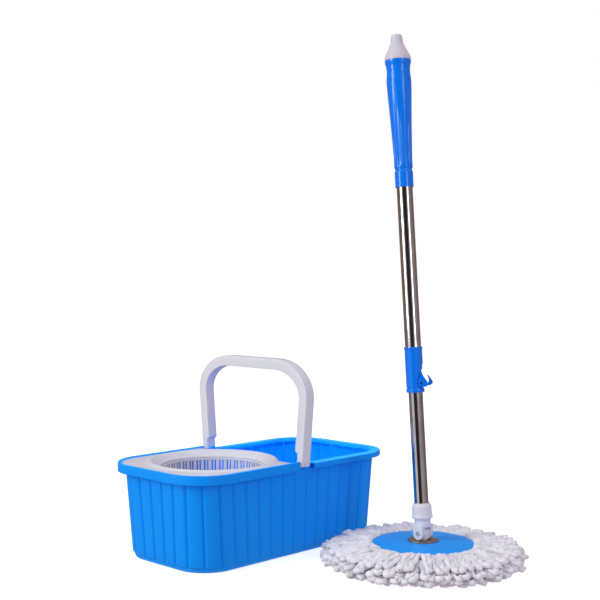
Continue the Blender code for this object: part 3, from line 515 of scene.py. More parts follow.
class Coat(Wires):
    """A Principled material that is put together from expressions."""

    def __init__(self, name: str, **constants: object) -> None:
        """Start a material.

        Args:
            name: The material's name.
            constants: Principled inputs that are the same all over, with _ for a space.
        """
        self.material = bpy.data.materials.new(name)
        self.material.use_nodes = True
        super().__init__(self.material.node_tree)
        self.surface = self.tree.nodes["Principled BSDF"]
        self.where = self.node("ShaderNodeTexCoord").outputs["Object"]
        for key, value in constants.items():
            self.feed(self.surface.inputs[key.replace("_", " ").title().replace("Ior", "IOR")], value)

    def along(self, place: Matrix, stretch: Point = (1.0, 1.0, 1.0)) -> bpy.types.NodeSocket:
        """Object coordinates in a piece's own upright frame.

        Args:
            place: The frame, in millimetres.
            stretch: Scale of the pattern along each axis.

        Returns:
            The vector socket.
        """
        away, turn, _ = place.decompose()
        local = self.node(
            "ShaderNodeMapping", {"vector_type": "TEXTURE"},
            {"Vector": self.where, "Location": tuple(away * MM), "Rotation": tuple(turn.to_euler())},
        )
        scaled = self.node("ShaderNodeMapping", {"vector_type": "POINT"},
                           {"Vector": local.outputs[0], "Scale": stretch})
        return scaled.outputs[0]

    def height(self) -> Number:
        """Height above the floor in metres."""
        split = self.node("ShaderNodeSeparateXYZ", None, {"Vector": self.where})
        return Number(self, split.outputs["Z"])

    def noise(self, scale: float, detail: float = 2.0, rough: float = 0.5,
              vector: bpy.types.NodeSocket | None = None) -> Number:
        """Noise between 0 and 1.

        Args:
            scale: How fine it is.
            detail: Finer layers in it.
            rough: How strong those are.
            vector: Coordinates to read, or nothing for Object coordinates.

        Returns:
            The noise.
        """
        made = self.node(
            "ShaderNodeTexNoise", None,
            {"Vector": vector or self.where, "Scale": scale, "Detail": detail, "Roughness": rough},
        )
        return Number(self, made.outputs[0])

    def cells(self, scale: float) -> Number:
        """Distance to the nearest of scattered points."""
        made = self.node("ShaderNodeTexVoronoi", None, {"Vector": self.where, "Scale": scale})
        return Number(self, made.outputs["Distance"])

    def dress(self, colour: object, rough: object,
              bumps: list[tuple[Number, float, float]]) -> bpy.types.Material:
        """Connect what varies over the surface.

        Args:
            colour: Base Color.
            rough: Roughness.
            bumps: (height from 0 to 1, its depth in metres, strength), from coarse to fine.

        Returns:
            The finished material.
        """
        self.feed(self.surface.inputs["Base Color"], colour)
        self.feed(self.surface.inputs["Roughness"], rough)
        normal = None
        for tall, depth, strength in bumps:
            sockets = {"Height": tall, "Distance": depth, "Strength": strength}
            if normal:
                sockets["Normal"] = normal
            normal = self.node("ShaderNodeBump", None, sockets).outputs["Normal"]
        if normal:
            self.feed(self.surface.inputs["Normal"], normal)
        return self.material


@dataclass(frozen=True)
class MouldedPlastic:
    """Glossy moulded plastic: faint orange peel, flow shading, drag marks and light scuffs."""

    name: str
    colour: Colour
    deep: Colour
    roughness: float
    coat: float = 0.1
    shine: float = 0.3
    glow: float = 0.0
    scuffs: float = 0.3
    peel: float = 1.0

    def make(self) -> bpy.types.Material:
        """Build the material."""
        coat = Coat(self.name, coat_weight=self.coat, coat_roughness=0.12, ior=1.49,
                    specular_ior_level=self.shine, subsurface_weight=self.glow,
                    subsurface_radius=(1.0, 1.0, 1.0), subsurface_scale=0.004)
        flow = coat.noise(9.0, 3.0, 0.55)
        mottle = coat.noise(120.0, 3.0, 0.6)
        tone = coat.mix(flow * 0.7 + mottle * 0.3, self.deep, self.colour)
        drag = coat.noise(1.0, 2.0, 0.6, coat.along(Matrix.Identity(4), (420.0, 420.0, 9.0)))
        scuffed = coat.noise(14.0, 2.0).ramped(0.55, 0.75)
        marks = coat.cells(95.0).ramped(0.16, 0.02) * scuffed * self.scuffs
        pale = tuple(min(1.0, c * 0.85 + 0.12) for c in self.colour)
        tone = coat.mix(marks * 0.35, tone, pale)
        worn = coat.height().ramped(0.006, 0.0) * 0.3
        tone = coat.mix(worn, tone, pale)
        rough = self.roughness + (drag - 0.5) * 0.14 + marks * 0.2 + (mottle - 0.5) * 0.06
        return coat.dress(tone, rough, [
            (flow, 0.0006, 0.35),
            (coat.noise(700.0 * self.peel, 2.0), 0.00008, 0.35),
            (marks, 0.0001, 0.4),
        ])


@dataclass(frozen=True)
class PolishedTube:
    """Bright stainless tube with faint polishing lines round it and hairline scratches along it."""

    name: str
    colour: Colour
    stain: Colour
    roughness: float
    place: Matrix

    def make(self) -> bpy.types.Material:
        """Build the material."""
        coat = Coat(self.name, metallic=1.0)
        rings = coat.noise(1.0, 3.0, 0.6, coat.along(self.place, (30.0, 30.0, 2600.0)))
        scratches = coat.noise(1.0, 3.0, 0.7, coat.along(self.place, (1500.0, 1500.0, 14.0)))
        blush = coat.noise(22.0, 4.0, 0.6)
        marks = coat.cells(160.0).ramped(0.1, 0.02) * coat.noise(30.0).ramped(0.5, 0.7)
        tone = coat.mix(blush.ramped(0.35, 0.75) * 0.6 + marks * 0.3, self.colour, self.stain)
        rough = self.roughness + (rings - 0.5) * 0.1 + scratches.ramped(0.55, 0.8) * 0.08 + marks * 0.15
        return coat.dress(tone, rough, [(rings, 0.00002, 0.12), (scratches, 0.00003, 0.15)])


@dataclass(frozen=True)
class TurnedSteel:
    """Pressed or turned steel with rings of tool marks and a little tarnish."""

    name: str
    colour: Colour
    tarnish: Colour
    roughness: float
    place: Matrix

    def make(self) -> bpy.types.Material:
        """Build the material."""
        coat = Coat(self.name, metallic=1.0)
        local = coat.along(self.place)
        split = coat.node("ShaderNodeSeparateXYZ", None, {"Vector": local})
        x, y = (Number(coat, split.outputs[k]) for k in ("X", "Y"))
        radius = (x * x + y * y) ** 0.5
        rings = coat.maths("SINE", radius * 9000.0) * 0.5 + 0.5
        patches = coat.noise(180.0, 4.0, 0.65)
        tone = coat.mix(patches.ramped(0.35, 0.65), self.colour, self.tarnish)
        rough = self.roughness + patches * 0.25 + rings * 0.05
        return coat.dress(tone, rough, [(rings, 0.00003, 0.2), (patches, 0.00008, 0.3)])


@dataclass(frozen=True)
class CottonYarn:
    """Soft spun yarn: fibres along the twist, fuzz, and a darker fold colour laid over fibres, tufts and
    clumps as painted shade in its folds.
    """

    name: str
    colour: Colour
    fold_shade: Colour

    def make(self) -> bpy.types.Material:
        """Build the material."""
        coat = Coat(self.name, sheen_weight=0.6, sheen_roughness=0.5, subsurface_weight=0.6,
                    subsurface_radius=(1.0, 0.95, 1.0), subsurface_scale=0.005)
        fibres = coat.noise(900.0, 4.0, 0.7)
        tufts = coat.noise(260.0, 3.0, 0.6)
        clumps = coat.noise(40.0, 2.0)
        # Painted shade: the darker fold colour fills the low spots of the fibre and tuft noise and the
        # clumps, standing in for shade in the yarn's folds.
        tone = coat.mix((fibres * 0.5 + tufts * 0.5).ramped(0.3, 0.62), self.fold_shade, self.colour)
        tone = coat.mix(clumps.ramped(0.35, 0.7) * 0.25, tone, self.fold_shade)
        rough = 0.85 + (fibres - 0.5) * 0.2
        return coat.dress(tone, rough, [(tufts, 0.001, 0.35), (fibres, 0.0004, 0.4)])


class Finishes:
    """Every material of the object, made once."""

    def __init__(self) -> None:
        """Make the materials."""
        self.bucket_blue = MouldedPlastic(
            "bucket_blue_plastic", (0.0, 0.325, 1.0), (0.0, 0.285, 0.96), 0.42,
            coat=0.0, glow=0.1, shine=0.16, scuffs=0.25).make()
        self.handle_blue = MouldedPlastic(
            "handle_blue_plastic", (0.0, 0.205, 0.9), (0.0, 0.18, 0.85), 0.12,
            coat=0.6, shine=0.12, scuffs=0.1, peel=0.7).make()
        self.disc_blue = MouldedPlastic(
            "disc_blue_plastic", (0.0, 0.36, 1.0), (0.0, 0.32, 1.0), 0.36,
            coat=0.0, shine=0.16, glow=0.1, scuffs=0.15).make()
        self.white = MouldedPlastic(
            "white_plastic", (0.745, 0.745, 0.79), (0.695, 0.69, 0.745), 0.36, glow=0.25, scuffs=0.2).make()
        # The end cap is the same white plastic in a darker, more lilac copy: painted shade for the dimmer
        # light at the top of the handle.
        self.cap_painted_shade_white = MouldedPlastic(
            "cap_plastic", (0.65, 0.61, 0.68), (0.6, 0.56, 0.635), 0.36, glow=0.2, scuffs=0.2).make()
        self.black = MouldedPlastic(
            "black_plastic", (0.035, 0.035, 0.04), (0.02, 0.02, 0.022), 0.45, scuffs=0.5).make()
        self.lower_chrome = PolishedTube(
            "lower_tube_steel", (0.62, 0.58, 0.58), (0.4, 0.33, 0.32), 0.1, POLE).make()
        self.upper_chrome = PolishedTube(
            "upper_tube_steel", (0.66, 0.62, 0.62), (0.44, 0.36, 0.34), 0.08, POLE).make()
        self.washer = TurnedSteel(
            "washer_steel", (0.55, 0.42, 0.36), (0.2, 0.11, 0.09), 0.28, HEAD).make()
        self.fitting = TurnedSteel(
            "fitting_steel", (0.62, 0.6, 0.58), (0.42, 0.38, 0.35), 0.28, HEAD).make()
        self.spindle = TurnedSteel(
            "spindle_steel", (0.62, 0.6, 0.58), (0.45, 0.42, 0.4), 0.25, BASKET).make()
        # The yarn's second colour is painted shade for its folds.
        self.yarn = CottonYarn("mop_cotton", (0.9, 0.875, 0.94), (0.85, 0.81, 0.89)).make()


# ---------------------------------------------------------------- geometry recipes


class Recipe(Wires):
    """A Geometry Nodes tree with named inputs."""

    def __init__(self, name: str, inputs: dict[str, tuple[str, object]]) -> None:
        """Start a tree that takes and gives a geometry.

        Args:
            name: The tree's name.
            inputs: Socket type and default of each named input.
        """
        super().__init__(bpy.data.node_groups.new(name, "GeometryNodeTree"))
        face = self.tree.interface
        face.new_socket("Geometry", in_out="INPUT", socket_type="NodeSocketGeometry")
        self.identifiers = {}
        for label, (kind, default) in inputs.items():
            socket = face.new_socket(label, in_out="INPUT", socket_type=kind)
            if default is not None:
                socket.default_value = default
            self.identifiers[label.replace(" ", "_").lower()] = socket.identifier
        face.new_socket("Geometry", in_out="OUTPUT", socket_type="NodeSocketGeometry")
        self.given = self.tree.nodes.new("NodeGroupInput").outputs

    def ends(self, geometry: bpy.types.NodeSocket) -> None:
        """Make the result real, set its material and give it back."""
        real = self.node("GeometryNodeRealizeInstances", None, {"Geometry": geometry}).outputs[0]
        dressed = self.node("GeometryNodeSetMaterial", None,
                            {"Geometry": real, "Material": self.given["Material"]}).outputs[0]
        self.tree.links.new(dressed, self.tree.nodes.new("NodeGroupOutput").inputs[0])


class RoundTheAxis(Recipe):
    """Repeats a part round an upright axis and joins the copies to what is there."""

    def __init__(self) -> None:
        """Build the tree."""
        super().__init__("round_the_axis", {
            "Part": ("NodeSocketObject", None),
            "Count": ("NodeSocketInt", 12),
            "Axis": ("NodeSocketVector", (0.0, 0.0, 0.0)),
            "Material": ("NodeSocketMaterial", None),
        })
        part = self.node("GeometryNodeObjectInfo", None, {"Object": self.given["Part"]}).outputs["Geometry"]
        line = self.node("GeometryNodeMeshLine", None, {
            "Count": self.given["Count"], "Offset": (0.0, 0.0, 0.0), "Start Location": self.given["Axis"],
        }).outputs[0]
        index = Number(self, self.node("GeometryNodeInputIndex").outputs[0])
        turn = index / Number(self, self.given["Count"]) * (2 * math.pi)
        spin = self.node("ShaderNodeCombineXYZ", None, {"Z": turn}).outputs[0]
        copies = self.node("GeometryNodeInstanceOnPoints", None,
                           {"Points": line, "Instance": part, "Rotation": spin}).outputs[0]
        both = self.node("GeometryNodeJoinGeometry")
        self.tree.links.new(copies, both.inputs[0])
        self.tree.links.new(self.given["Geometry"], both.inputs[0])
        self.ends(both.outputs[0])


class TwistedYarn(Recipe):
    """Turns centrelines into plump two-ply yarn."""

    def __init__(self) -> None:
        """Build the tree."""
        super().__init__("twisted_yarn", {
            "Radius": ("NodeSocketFloat", 0.0041),
            "Turns": ("NodeSocketFloat", 42.0),
            "Lobe": ("NodeSocketFloat", 0.13),
            "Unevenness": ("NodeSocketFloat", 0.35),
            "Fuzz": ("NodeSocketFloat", 0.0023),
            "Step": ("NodeSocketFloat", 0.0026),
            "Seed": ("NodeSocketFloat", 1.0),
            "Material": ("NodeSocketMaterial", None),
        })
        lines = self.node("GeometryNodeMeshToCurve", None, {"Mesh": self.given["Geometry"]}).outputs[0]
        even = self.node("GeometryNodeResampleCurve", {"mode": "LENGTH"},
                         {"Curve": lines, "Length": self.given["Step"]}).outputs[0]
        run = Number(self, self.node("GeometryNodeSplineParameter").outputs["Length"])
        tilt = run * Number(self, self.given["Turns"]) * (2 * math.pi)
        tilted = self.node("GeometryNodeSetCurveTilt", None, {"Curve": even, "Tilt": tilt}).outputs[0]
        plump = self.noise(110.0) - 0.5
        swell = 1 + plump * Number(self, self.given["Unevenness"]) * 2.0
        radius = swell * Number(self, self.given["Radius"])
        sized = self.node("GeometryNodeSetCurveRadius", None,
                          {"Curve": tilted, "Radius": radius}).outputs[0]
        ring = self.node("GeometryNodeCurvePrimitiveCircle", None,
                         {"Resolution": 10, "Radius": 1.0}).outputs[0]
        section = self.node("GeometryNodeSetPosition", None,
                            {"Geometry": ring, "Position": self.lobed()}).outputs[0]
        swept = self.node("GeometryNodeCurveToMesh", None, {
            "Curve": sized, "Profile Curve": section, "Scale": radius, "Fill Caps": True,
        })
        normal = self.node("GeometryNodeInputNormal").outputs[0]
        push = (self.noise(240.0) - 0.5) * Number(self, self.given["Fuzz"]) * 2.0
        fuzzy = self.node("GeometryNodeSetPosition", None,
                          {"Geometry": swept.outputs[0], "Offset": self.scaled(normal, push)}).outputs[0]
        self.ends(self.node("GeometryNodeSetShadeSmooth", None, {0: fuzzy}).outputs[0])

    def scaled(self, vector: bpy.types.NodeSocket, size: Number) -> bpy.types.NodeSocket:
        """A vector times a number."""
        made = self.node("ShaderNodeVectorMath", {"operation": "SCALE"}, {0: vector, "Scale": size})
        return made.outputs[0]

    def noise(self, scale: float) -> Number:
        """Noise at each point's position, moved by the seed."""
        made = self.node("ShaderNodeTexNoise", {"noise_dimensions": "4D"},
                         {"Scale": scale, "W": self.given["Seed"], "Detail": 2.0})
        return Number(self, made.outputs[0])

    def lobed(self) -> bpy.types.NodeSocket:
        """A unit circle pressed in on two sides, so that a twist shows as two plies."""
        where = self.node("GeometryNodeInputPosition").outputs[0]
        split = self.node("ShaderNodeSeparateXYZ", None, {"Vector": where})
        x, y = (Number(self, split.outputs[k]) for k in ("X", "Y"))
        return self.scaled(where, 1 + (x * x - y * y) * Number(self, self.given["Lobe"]))


# ---------------------------------------------------------------- bucket


@dataclass
class Bucket:
    """Fluted tub with its rim band, notches and bosses."""

    finishes: Finishes
    base_length: float = 398.0
    base_width: float = 199.5
    base_corner: float = 54.0
    flare_x: float = 10.5
    flare_y: float = 4.75
    top_corner: float = 52.0
    wall: float = 2.2
    flange_z: float = 146.5
    lip_rise: float = 5.5
    lip_width: float = 5.5
    band_out: float = 15.5
    band_bottom_z: float = 137.5
    flutes: int = 44
    flute_proud: float = 3.4
    groove: float = 7.0
    flute_bottom_z: float = 4.5
    flute_top_z: float = 142.0
    flute_fade: float = 6.0
    base_edge: float = 3.5
    step_x: float = 3.0
    notch_x: tuple[float, float] = (-13.0, 20.6)
    notch_face_y: float = 108.4
    notch_bottom_z: float = 136.0
    pivot_z: float = 147.0
    pivot_bore_r: float = 2.8
    pivot_boss_r: float = 5.2
    spindle_boss_r: float = 14.0
    spindle_boss_top: float = 12.0
    spindle_bore_r: float = 4.3

    def size(self, z: float) -> tuple[float, float, float]:
        """The wall at a height.

        Args:
            z: The height.

        Returns:
            Its length, width and corner radius.
        """
        share = z / self.flange_z
        return (
            self.base_length + 2 * self.flare_x * share,
            self.base_width + 2 * self.flare_y * share,
            self.base_corner + (self.top_corner - self.base_corner) * share,
        )

    def outline_point(self, z: float, stretch: int, t: float, offset: float) -> tuple[float, float]:
        """A point of the wall's outline.

        Args:
            z: Its height.
            stretch: One of the eight stretches, sides and corners by turns, from the +x end.
            t: Its share of the way along the stretch.
            offset: How far outside the wall it lies.

        Returns:
            Its x and y.
        """
        length, width, radius = self.size(z)
        a, b = length / 2 - radius, width / 2 - radius
        if stretch % 2:
            turn = (stretch // 2 + t) * math.pi / 2
            sign_x = 1 if stretch in (1, 7) else -1
            sign_y = 1 if stretch in (1, 3) else -1
            reach = radius + offset
            return sign_x * a + reach * math.cos(turn), sign_y * b + reach * math.sin(turn)
        return {
            0: (length / 2 + offset, b * (2 * t - 1)),
            2: (a * (1 - 2 * t), width / 2 + offset),
            4: (-length / 2 - offset, b * (1 - 2 * t)),
            6: (a * (2 * t - 1), -width / 2 - offset),
        }[stretch]

    def stations(self) -> list[tuple[int, float, float]]:
        """(stretch, share, lift) round the wall, closer together beside each groove."""
        length, width, radius = self.size(self.flange_z / 2)
        end, corner, side = width - 2 * radius, radius * math.pi / 2, length - 2 * radius
        lengths = [end, corner, side, corner] * 2
        total = sum(lengths)
        pitch = total / self.flutes
        half = self.groove / 2 / pitch
        shares = [0.0, half * 0.3, half * 0.65, half, half * 1.5, 0.32, 0.5]
        shares += [1 - s for s in reversed(shares[1:-1])]
        made = []
        for flute in range(self.flutes):
            for share in shares:
                place = ((flute + 0.5 + share) * pitch) % total
                apart = min(share, 1 - share)
                lift = 0.78 * smooth(-half * 0.2, half, apart) + 0.22 * math.sin(math.pi * min(0.5, apart))
                stretch = 0
                while place > lengths[stretch]:
                    place -= lengths[stretch]
                    stretch += 1
                made.append((stretch, place / lengths[stretch], lift))
        return sorted(made)

    def wall_loop(self, offset: float, z: float, panel: float = 0.0) -> list[Point]:
        """One level of the wall.

        Args:
            offset: How far outside the wall it lies.
            z: Its height.
            panel: How far the panels stand out, as a share of the most they do.

        Returns:
            The points round it.
        """
        proud = self.flute_proud * panel
        return [
            (*self.outline_point(z, stretch, t, offset + proud * lift), z)
            for stretch, t, lift in self.stations()
        ]

    def rim_profiles(self) -> tuple[Outline, Outline]:
        """(offset, z) round the rim band, for the basket half and for the water half."""
        lip_z, lip_in = self.flange_z + self.lip_rise, self.band_out - self.lip_width
        under = self.flange_z - self.wall
        start = [
            (0.0, under), (self.band_out - self.wall, under),
            (self.band_out - self.wall, self.band_bottom_z), (self.band_out, self.band_bottom_z),
        ]
        basket = start + [
            (self.band_out, lip_z), (lip_in, lip_z), (lip_in, self.flange_z), (-self.wall, self.flange_z),
        ]
        water = start + [
            (self.band_out, self.flange_z), (lip_in, self.flange_z), (lip_in - 2.0, self.flange_z),
            (-self.wall, self.flange_z),
        ]
        return softened(basket, 1.1, 3), softened(water, 1.1, 3)

    def tub_shape(self) -> Shape:
        """The tub as one closed skin, from the middle of the underside round the rim to the floor."""
        low, high, fade = self.flute_bottom_z, self.flute_top_z, self.flute_fade
        edge = [
            (-self.base_edge * (1 - math.sin(a)), self.base_edge * (1 - math.cos(a)))
            for a in (math.pi / 2 * k / 5 for k in range(6))
        ]
        outer = [self.wall_loop(offset, z) for offset, z in edge]
        climb = [(low + fade * k / 4, smooth(0, 1, k / 4)) for k in range(5)]
        climb += [(low + fade + (high - low - 2 * fade) * k / 6, 1.0) for k in range(1, 6)]
        climb += [(high - fade * (4 - k) / 4, smooth(0, 1, (4 - k) / 4)) for k in range(5)]
        outer += [self.wall_loop(0.0, z, panel) for z, panel in climb]
        inner = [self.wall_loop(-self.wall, z, panel) for z, panel in reversed(climb)]
        floor = [
            self.wall_loop(-self.wall - offset, self.wall + rise)
            for offset, rise in ((0.0, 4.0), (0.6, 1.8), (2.0, 0.5), (4.0, 0.0))
        ]
        rim = []
        stations = self.stations()
        for basket, water in zip(*self.rim_profiles()):
            loop = []
            for stretch, t, _ in stations:
                x = self.outline_point(self.flange_z, stretch, t, 0.0)[0]
                offset, z = basket if x < self.step_x else water
                loop.append((*self.outline_point(self.flange_z, stretch, t, offset), z))
            rim.append(loop)
        return loft(outer + rim + inner + floor)

    def build(self) -> None:
        """Make the tub."""
        tub = Piece("tub", self.tub_shape())
        wall_y = self.size(self.flange_z)[1] / 2
        for side in (-1, 1):
            low_y, high_y = sided(side, self.notch_face_y, wall_y + self.band_out + 5)
            corners = [(self.notch_x[0], low_y), (self.notch_x[1], low_y), (self.notch_x[1], high_y),
                       (self.notch_x[0], high_y)]
            tub.cut(prism(corners, self.notch_bottom_z, self.flange_z + self.lip_rise + 4))
            low_y, high_y = sided(side, wall_y - self.wall + 0.1, self.notch_face_y - 0.02)
            tub.joined(prism(circle(self.pivot_boss_r, 40, (0, self.pivot_z)), low_y, high_y, SIDEWAYS))
            low_y, high_y = sided(side, wall_y - self.wall / 2, self.notch_face_y + 1)
            tub.cut(prism(circle(self.pivot_bore_r, 32, (0, self.pivot_z)), low_y, high_y, SIDEWAYS))
        top = self.spindle_boss_top
        tub.joined(prism(circle(self.spindle_boss_r, 64, (BASKET_X, 0)), self.wall / 2, top))
        tub.cut(prism(circle(self.spindle_bore_r, 40, (BASKET_X, 0)), self.wall, top + 1))
        tub.ready(self.finishes.bucket_blue, Body.BUCKET, Slot.BUCKET_BLUE, "bucket_tub", sharp=38)


@dataclass
class Bail:
    """U-shaped carrying handle: a channel open towards the water, with cross ribs and solid feet."""

    finishes: Finishes
    pivot_z: float = 147.0
    width: float = 18.8
    thick: float = 17.5
    top_z: float = 312.4
    foot_z: float = 142.9
    foot_y: float = 119.9
    leg_y: float = 129.9
    notch_face_y: float = 108.4
    rise: float = 60.0
    run: float = 74.0
    shoulder_z: float = 163.5
    skin: float = 2.4
    rib: float = 2.0
    pin_bore_r: float = 2.8
    pin_r: float = 2.5
    pin_head_r: float = 3.8

    def frames(self) -> list[tuple[tuple[float, float], tuple[float, float], float, float]]:
        """The bail's cross-sections from one foot over the top to the other.

        Returns:
            (y, z) on the outer face, its outward direction, the thickness, and how far the channel's floor
            stands from the middle.
        """
        half = self.width / 2
        solid, web = half - 0.4, -half + self.skin
        foot_thick = self.foot_y - self.notch_face_y - 0.3
        bend_z, bend_y = self.top_z - self.rise, self.leg_y - self.run
        lean = math.atan2(self.leg_y - self.foot_y, bend_z - self.foot_z)

        def on_leg(z: float, thick: float, skin: float) -> tuple:
            """A cross-section of the straight leg at a height."""
            share = (z - self.foot_z) / (bend_z - self.foot_z)
            y = self.foot_y + (self.leg_y - self.foot_y) * share
            return (y, z), (math.cos(lean), -math.sin(lean)), thick, skin

        step = 0.35
        foot_top = self.shoulder_z + 6.0
        made = [
            ((self.foot_y - 1.2, self.foot_z), (1.0, 0.0), foot_thick - 2.4, solid),
            ((self.foot_y - 0.3, self.foot_z + 0.3), (1.0, 0.0), foot_thick - 0.6, solid),
            ((self.foot_y, self.foot_z + 1.2), (1.0, 0.0), foot_thick, solid),
            on_leg(self.shoulder_z - step, foot_thick + 1.0, solid),
            on_leg(self.shoulder_z, foot_thick + 2.0, solid),
            on_leg(self.shoulder_z + 2.6, self.thick - 0.6, solid),
            on_leg(self.shoulder_z + 3.4, self.thick, solid),
            on_leg(foot_top, self.thick, solid),
            on_leg(foot_top + step, self.thick, web),
        ]
        for rib in range(2):
            z = foot_top + (bend_z - foot_top) * (rib + 1) / 3
            made += [on_leg(z - step, self.thick, web), on_leg(z, self.thick, solid)]
            made += [on_leg(z + self.rib, self.thick, solid), on_leg(z + self.rib + step, self.thick, web)]
        steps = 28
        for k in range(steps + 1):
            turn = lean + (math.pi / 2 - lean) * k / steps if k else 0.0
            y = bend_y + self.run * math.cos(turn)
            z = bend_z + self.rise * math.sin(turn)
            facing = Vector((math.cos(turn) / self.run, math.sin(turn) / self.rise)).normalized()
            facing = facing if k else Vector((math.cos(lean), -math.sin(lean)))
            made.append(((y, z), tuple(facing), self.thick, web))
        y = bend_y * 2 / 5
        for place, skin in ((y + self.rib + step, web), (y + self.rib, solid), (y, solid), (y - step, web)):
            made.append(((place, self.top_z), (0.0, 1.0), self.thick, skin))
        mirrored = [((-y, z), (-ny, nz), thick, skin) for (y, z), (ny, nz), thick, skin in reversed(made)]
        return made + mirrored

    def build(self) -> None:
        """Make the bail and dress its pins."""
        half = self.width / 2
        loops = []
        for (y, z), (ny, nz), thick, skin in self.frames():
            section = softened([
                (-half, 0.0), (half, 0.0), (half, -self.skin), (skin, -self.skin),
                (skin, self.skin - thick), (half, self.skin - thick), (half, -thick), (-half, -thick),
            ], 1.3, 3)
            loops.append([(x, y + n * ny, z + n * nz) for x, n in section])
        bail = Piece("bail", loft(loops))
        bore = circle(self.pin_bore_r, 32, (0, self.pivot_z))
        bail.cut(prism(bore, -self.foot_y - 5, self.foot_y + 5, SIDEWAYS))
        bail.ready(self.finishes.white, Body.BAIL, Slot.WHITE, "bail_handle", sharp=38)
        profile = softened([
            (0.0, 103.7), (self.pin_r, 103.7), (self.pin_r, 120.7), (self.pin_head_r, 120.7),
            (self.pin_head_r, 121.6), (0.0, 122.0),
        ], 0.5, 3, closed=False)
        for side, name in ((-1, "near"), (1, "far")):
            laid = Matrix.Translation((0, 0, self.pivot_z)) @ Matrix.Rotation(-side * math.pi / 2, 4, "X")
            cross = prism([(-1.9, -0.4), (1.9, -0.4), (1.9, 0.4), (-1.9, 0.4)], 121.2, 123.0)
            pin = Piece(f"bail_pin_{name}_fine", lathe(profile, 48, closed=False), laid).cut(cross)
            pin.ready(self.finishes.white, Body.BAIL, Slot.WHITE, f"bail_pin_{name}", sharp=45)


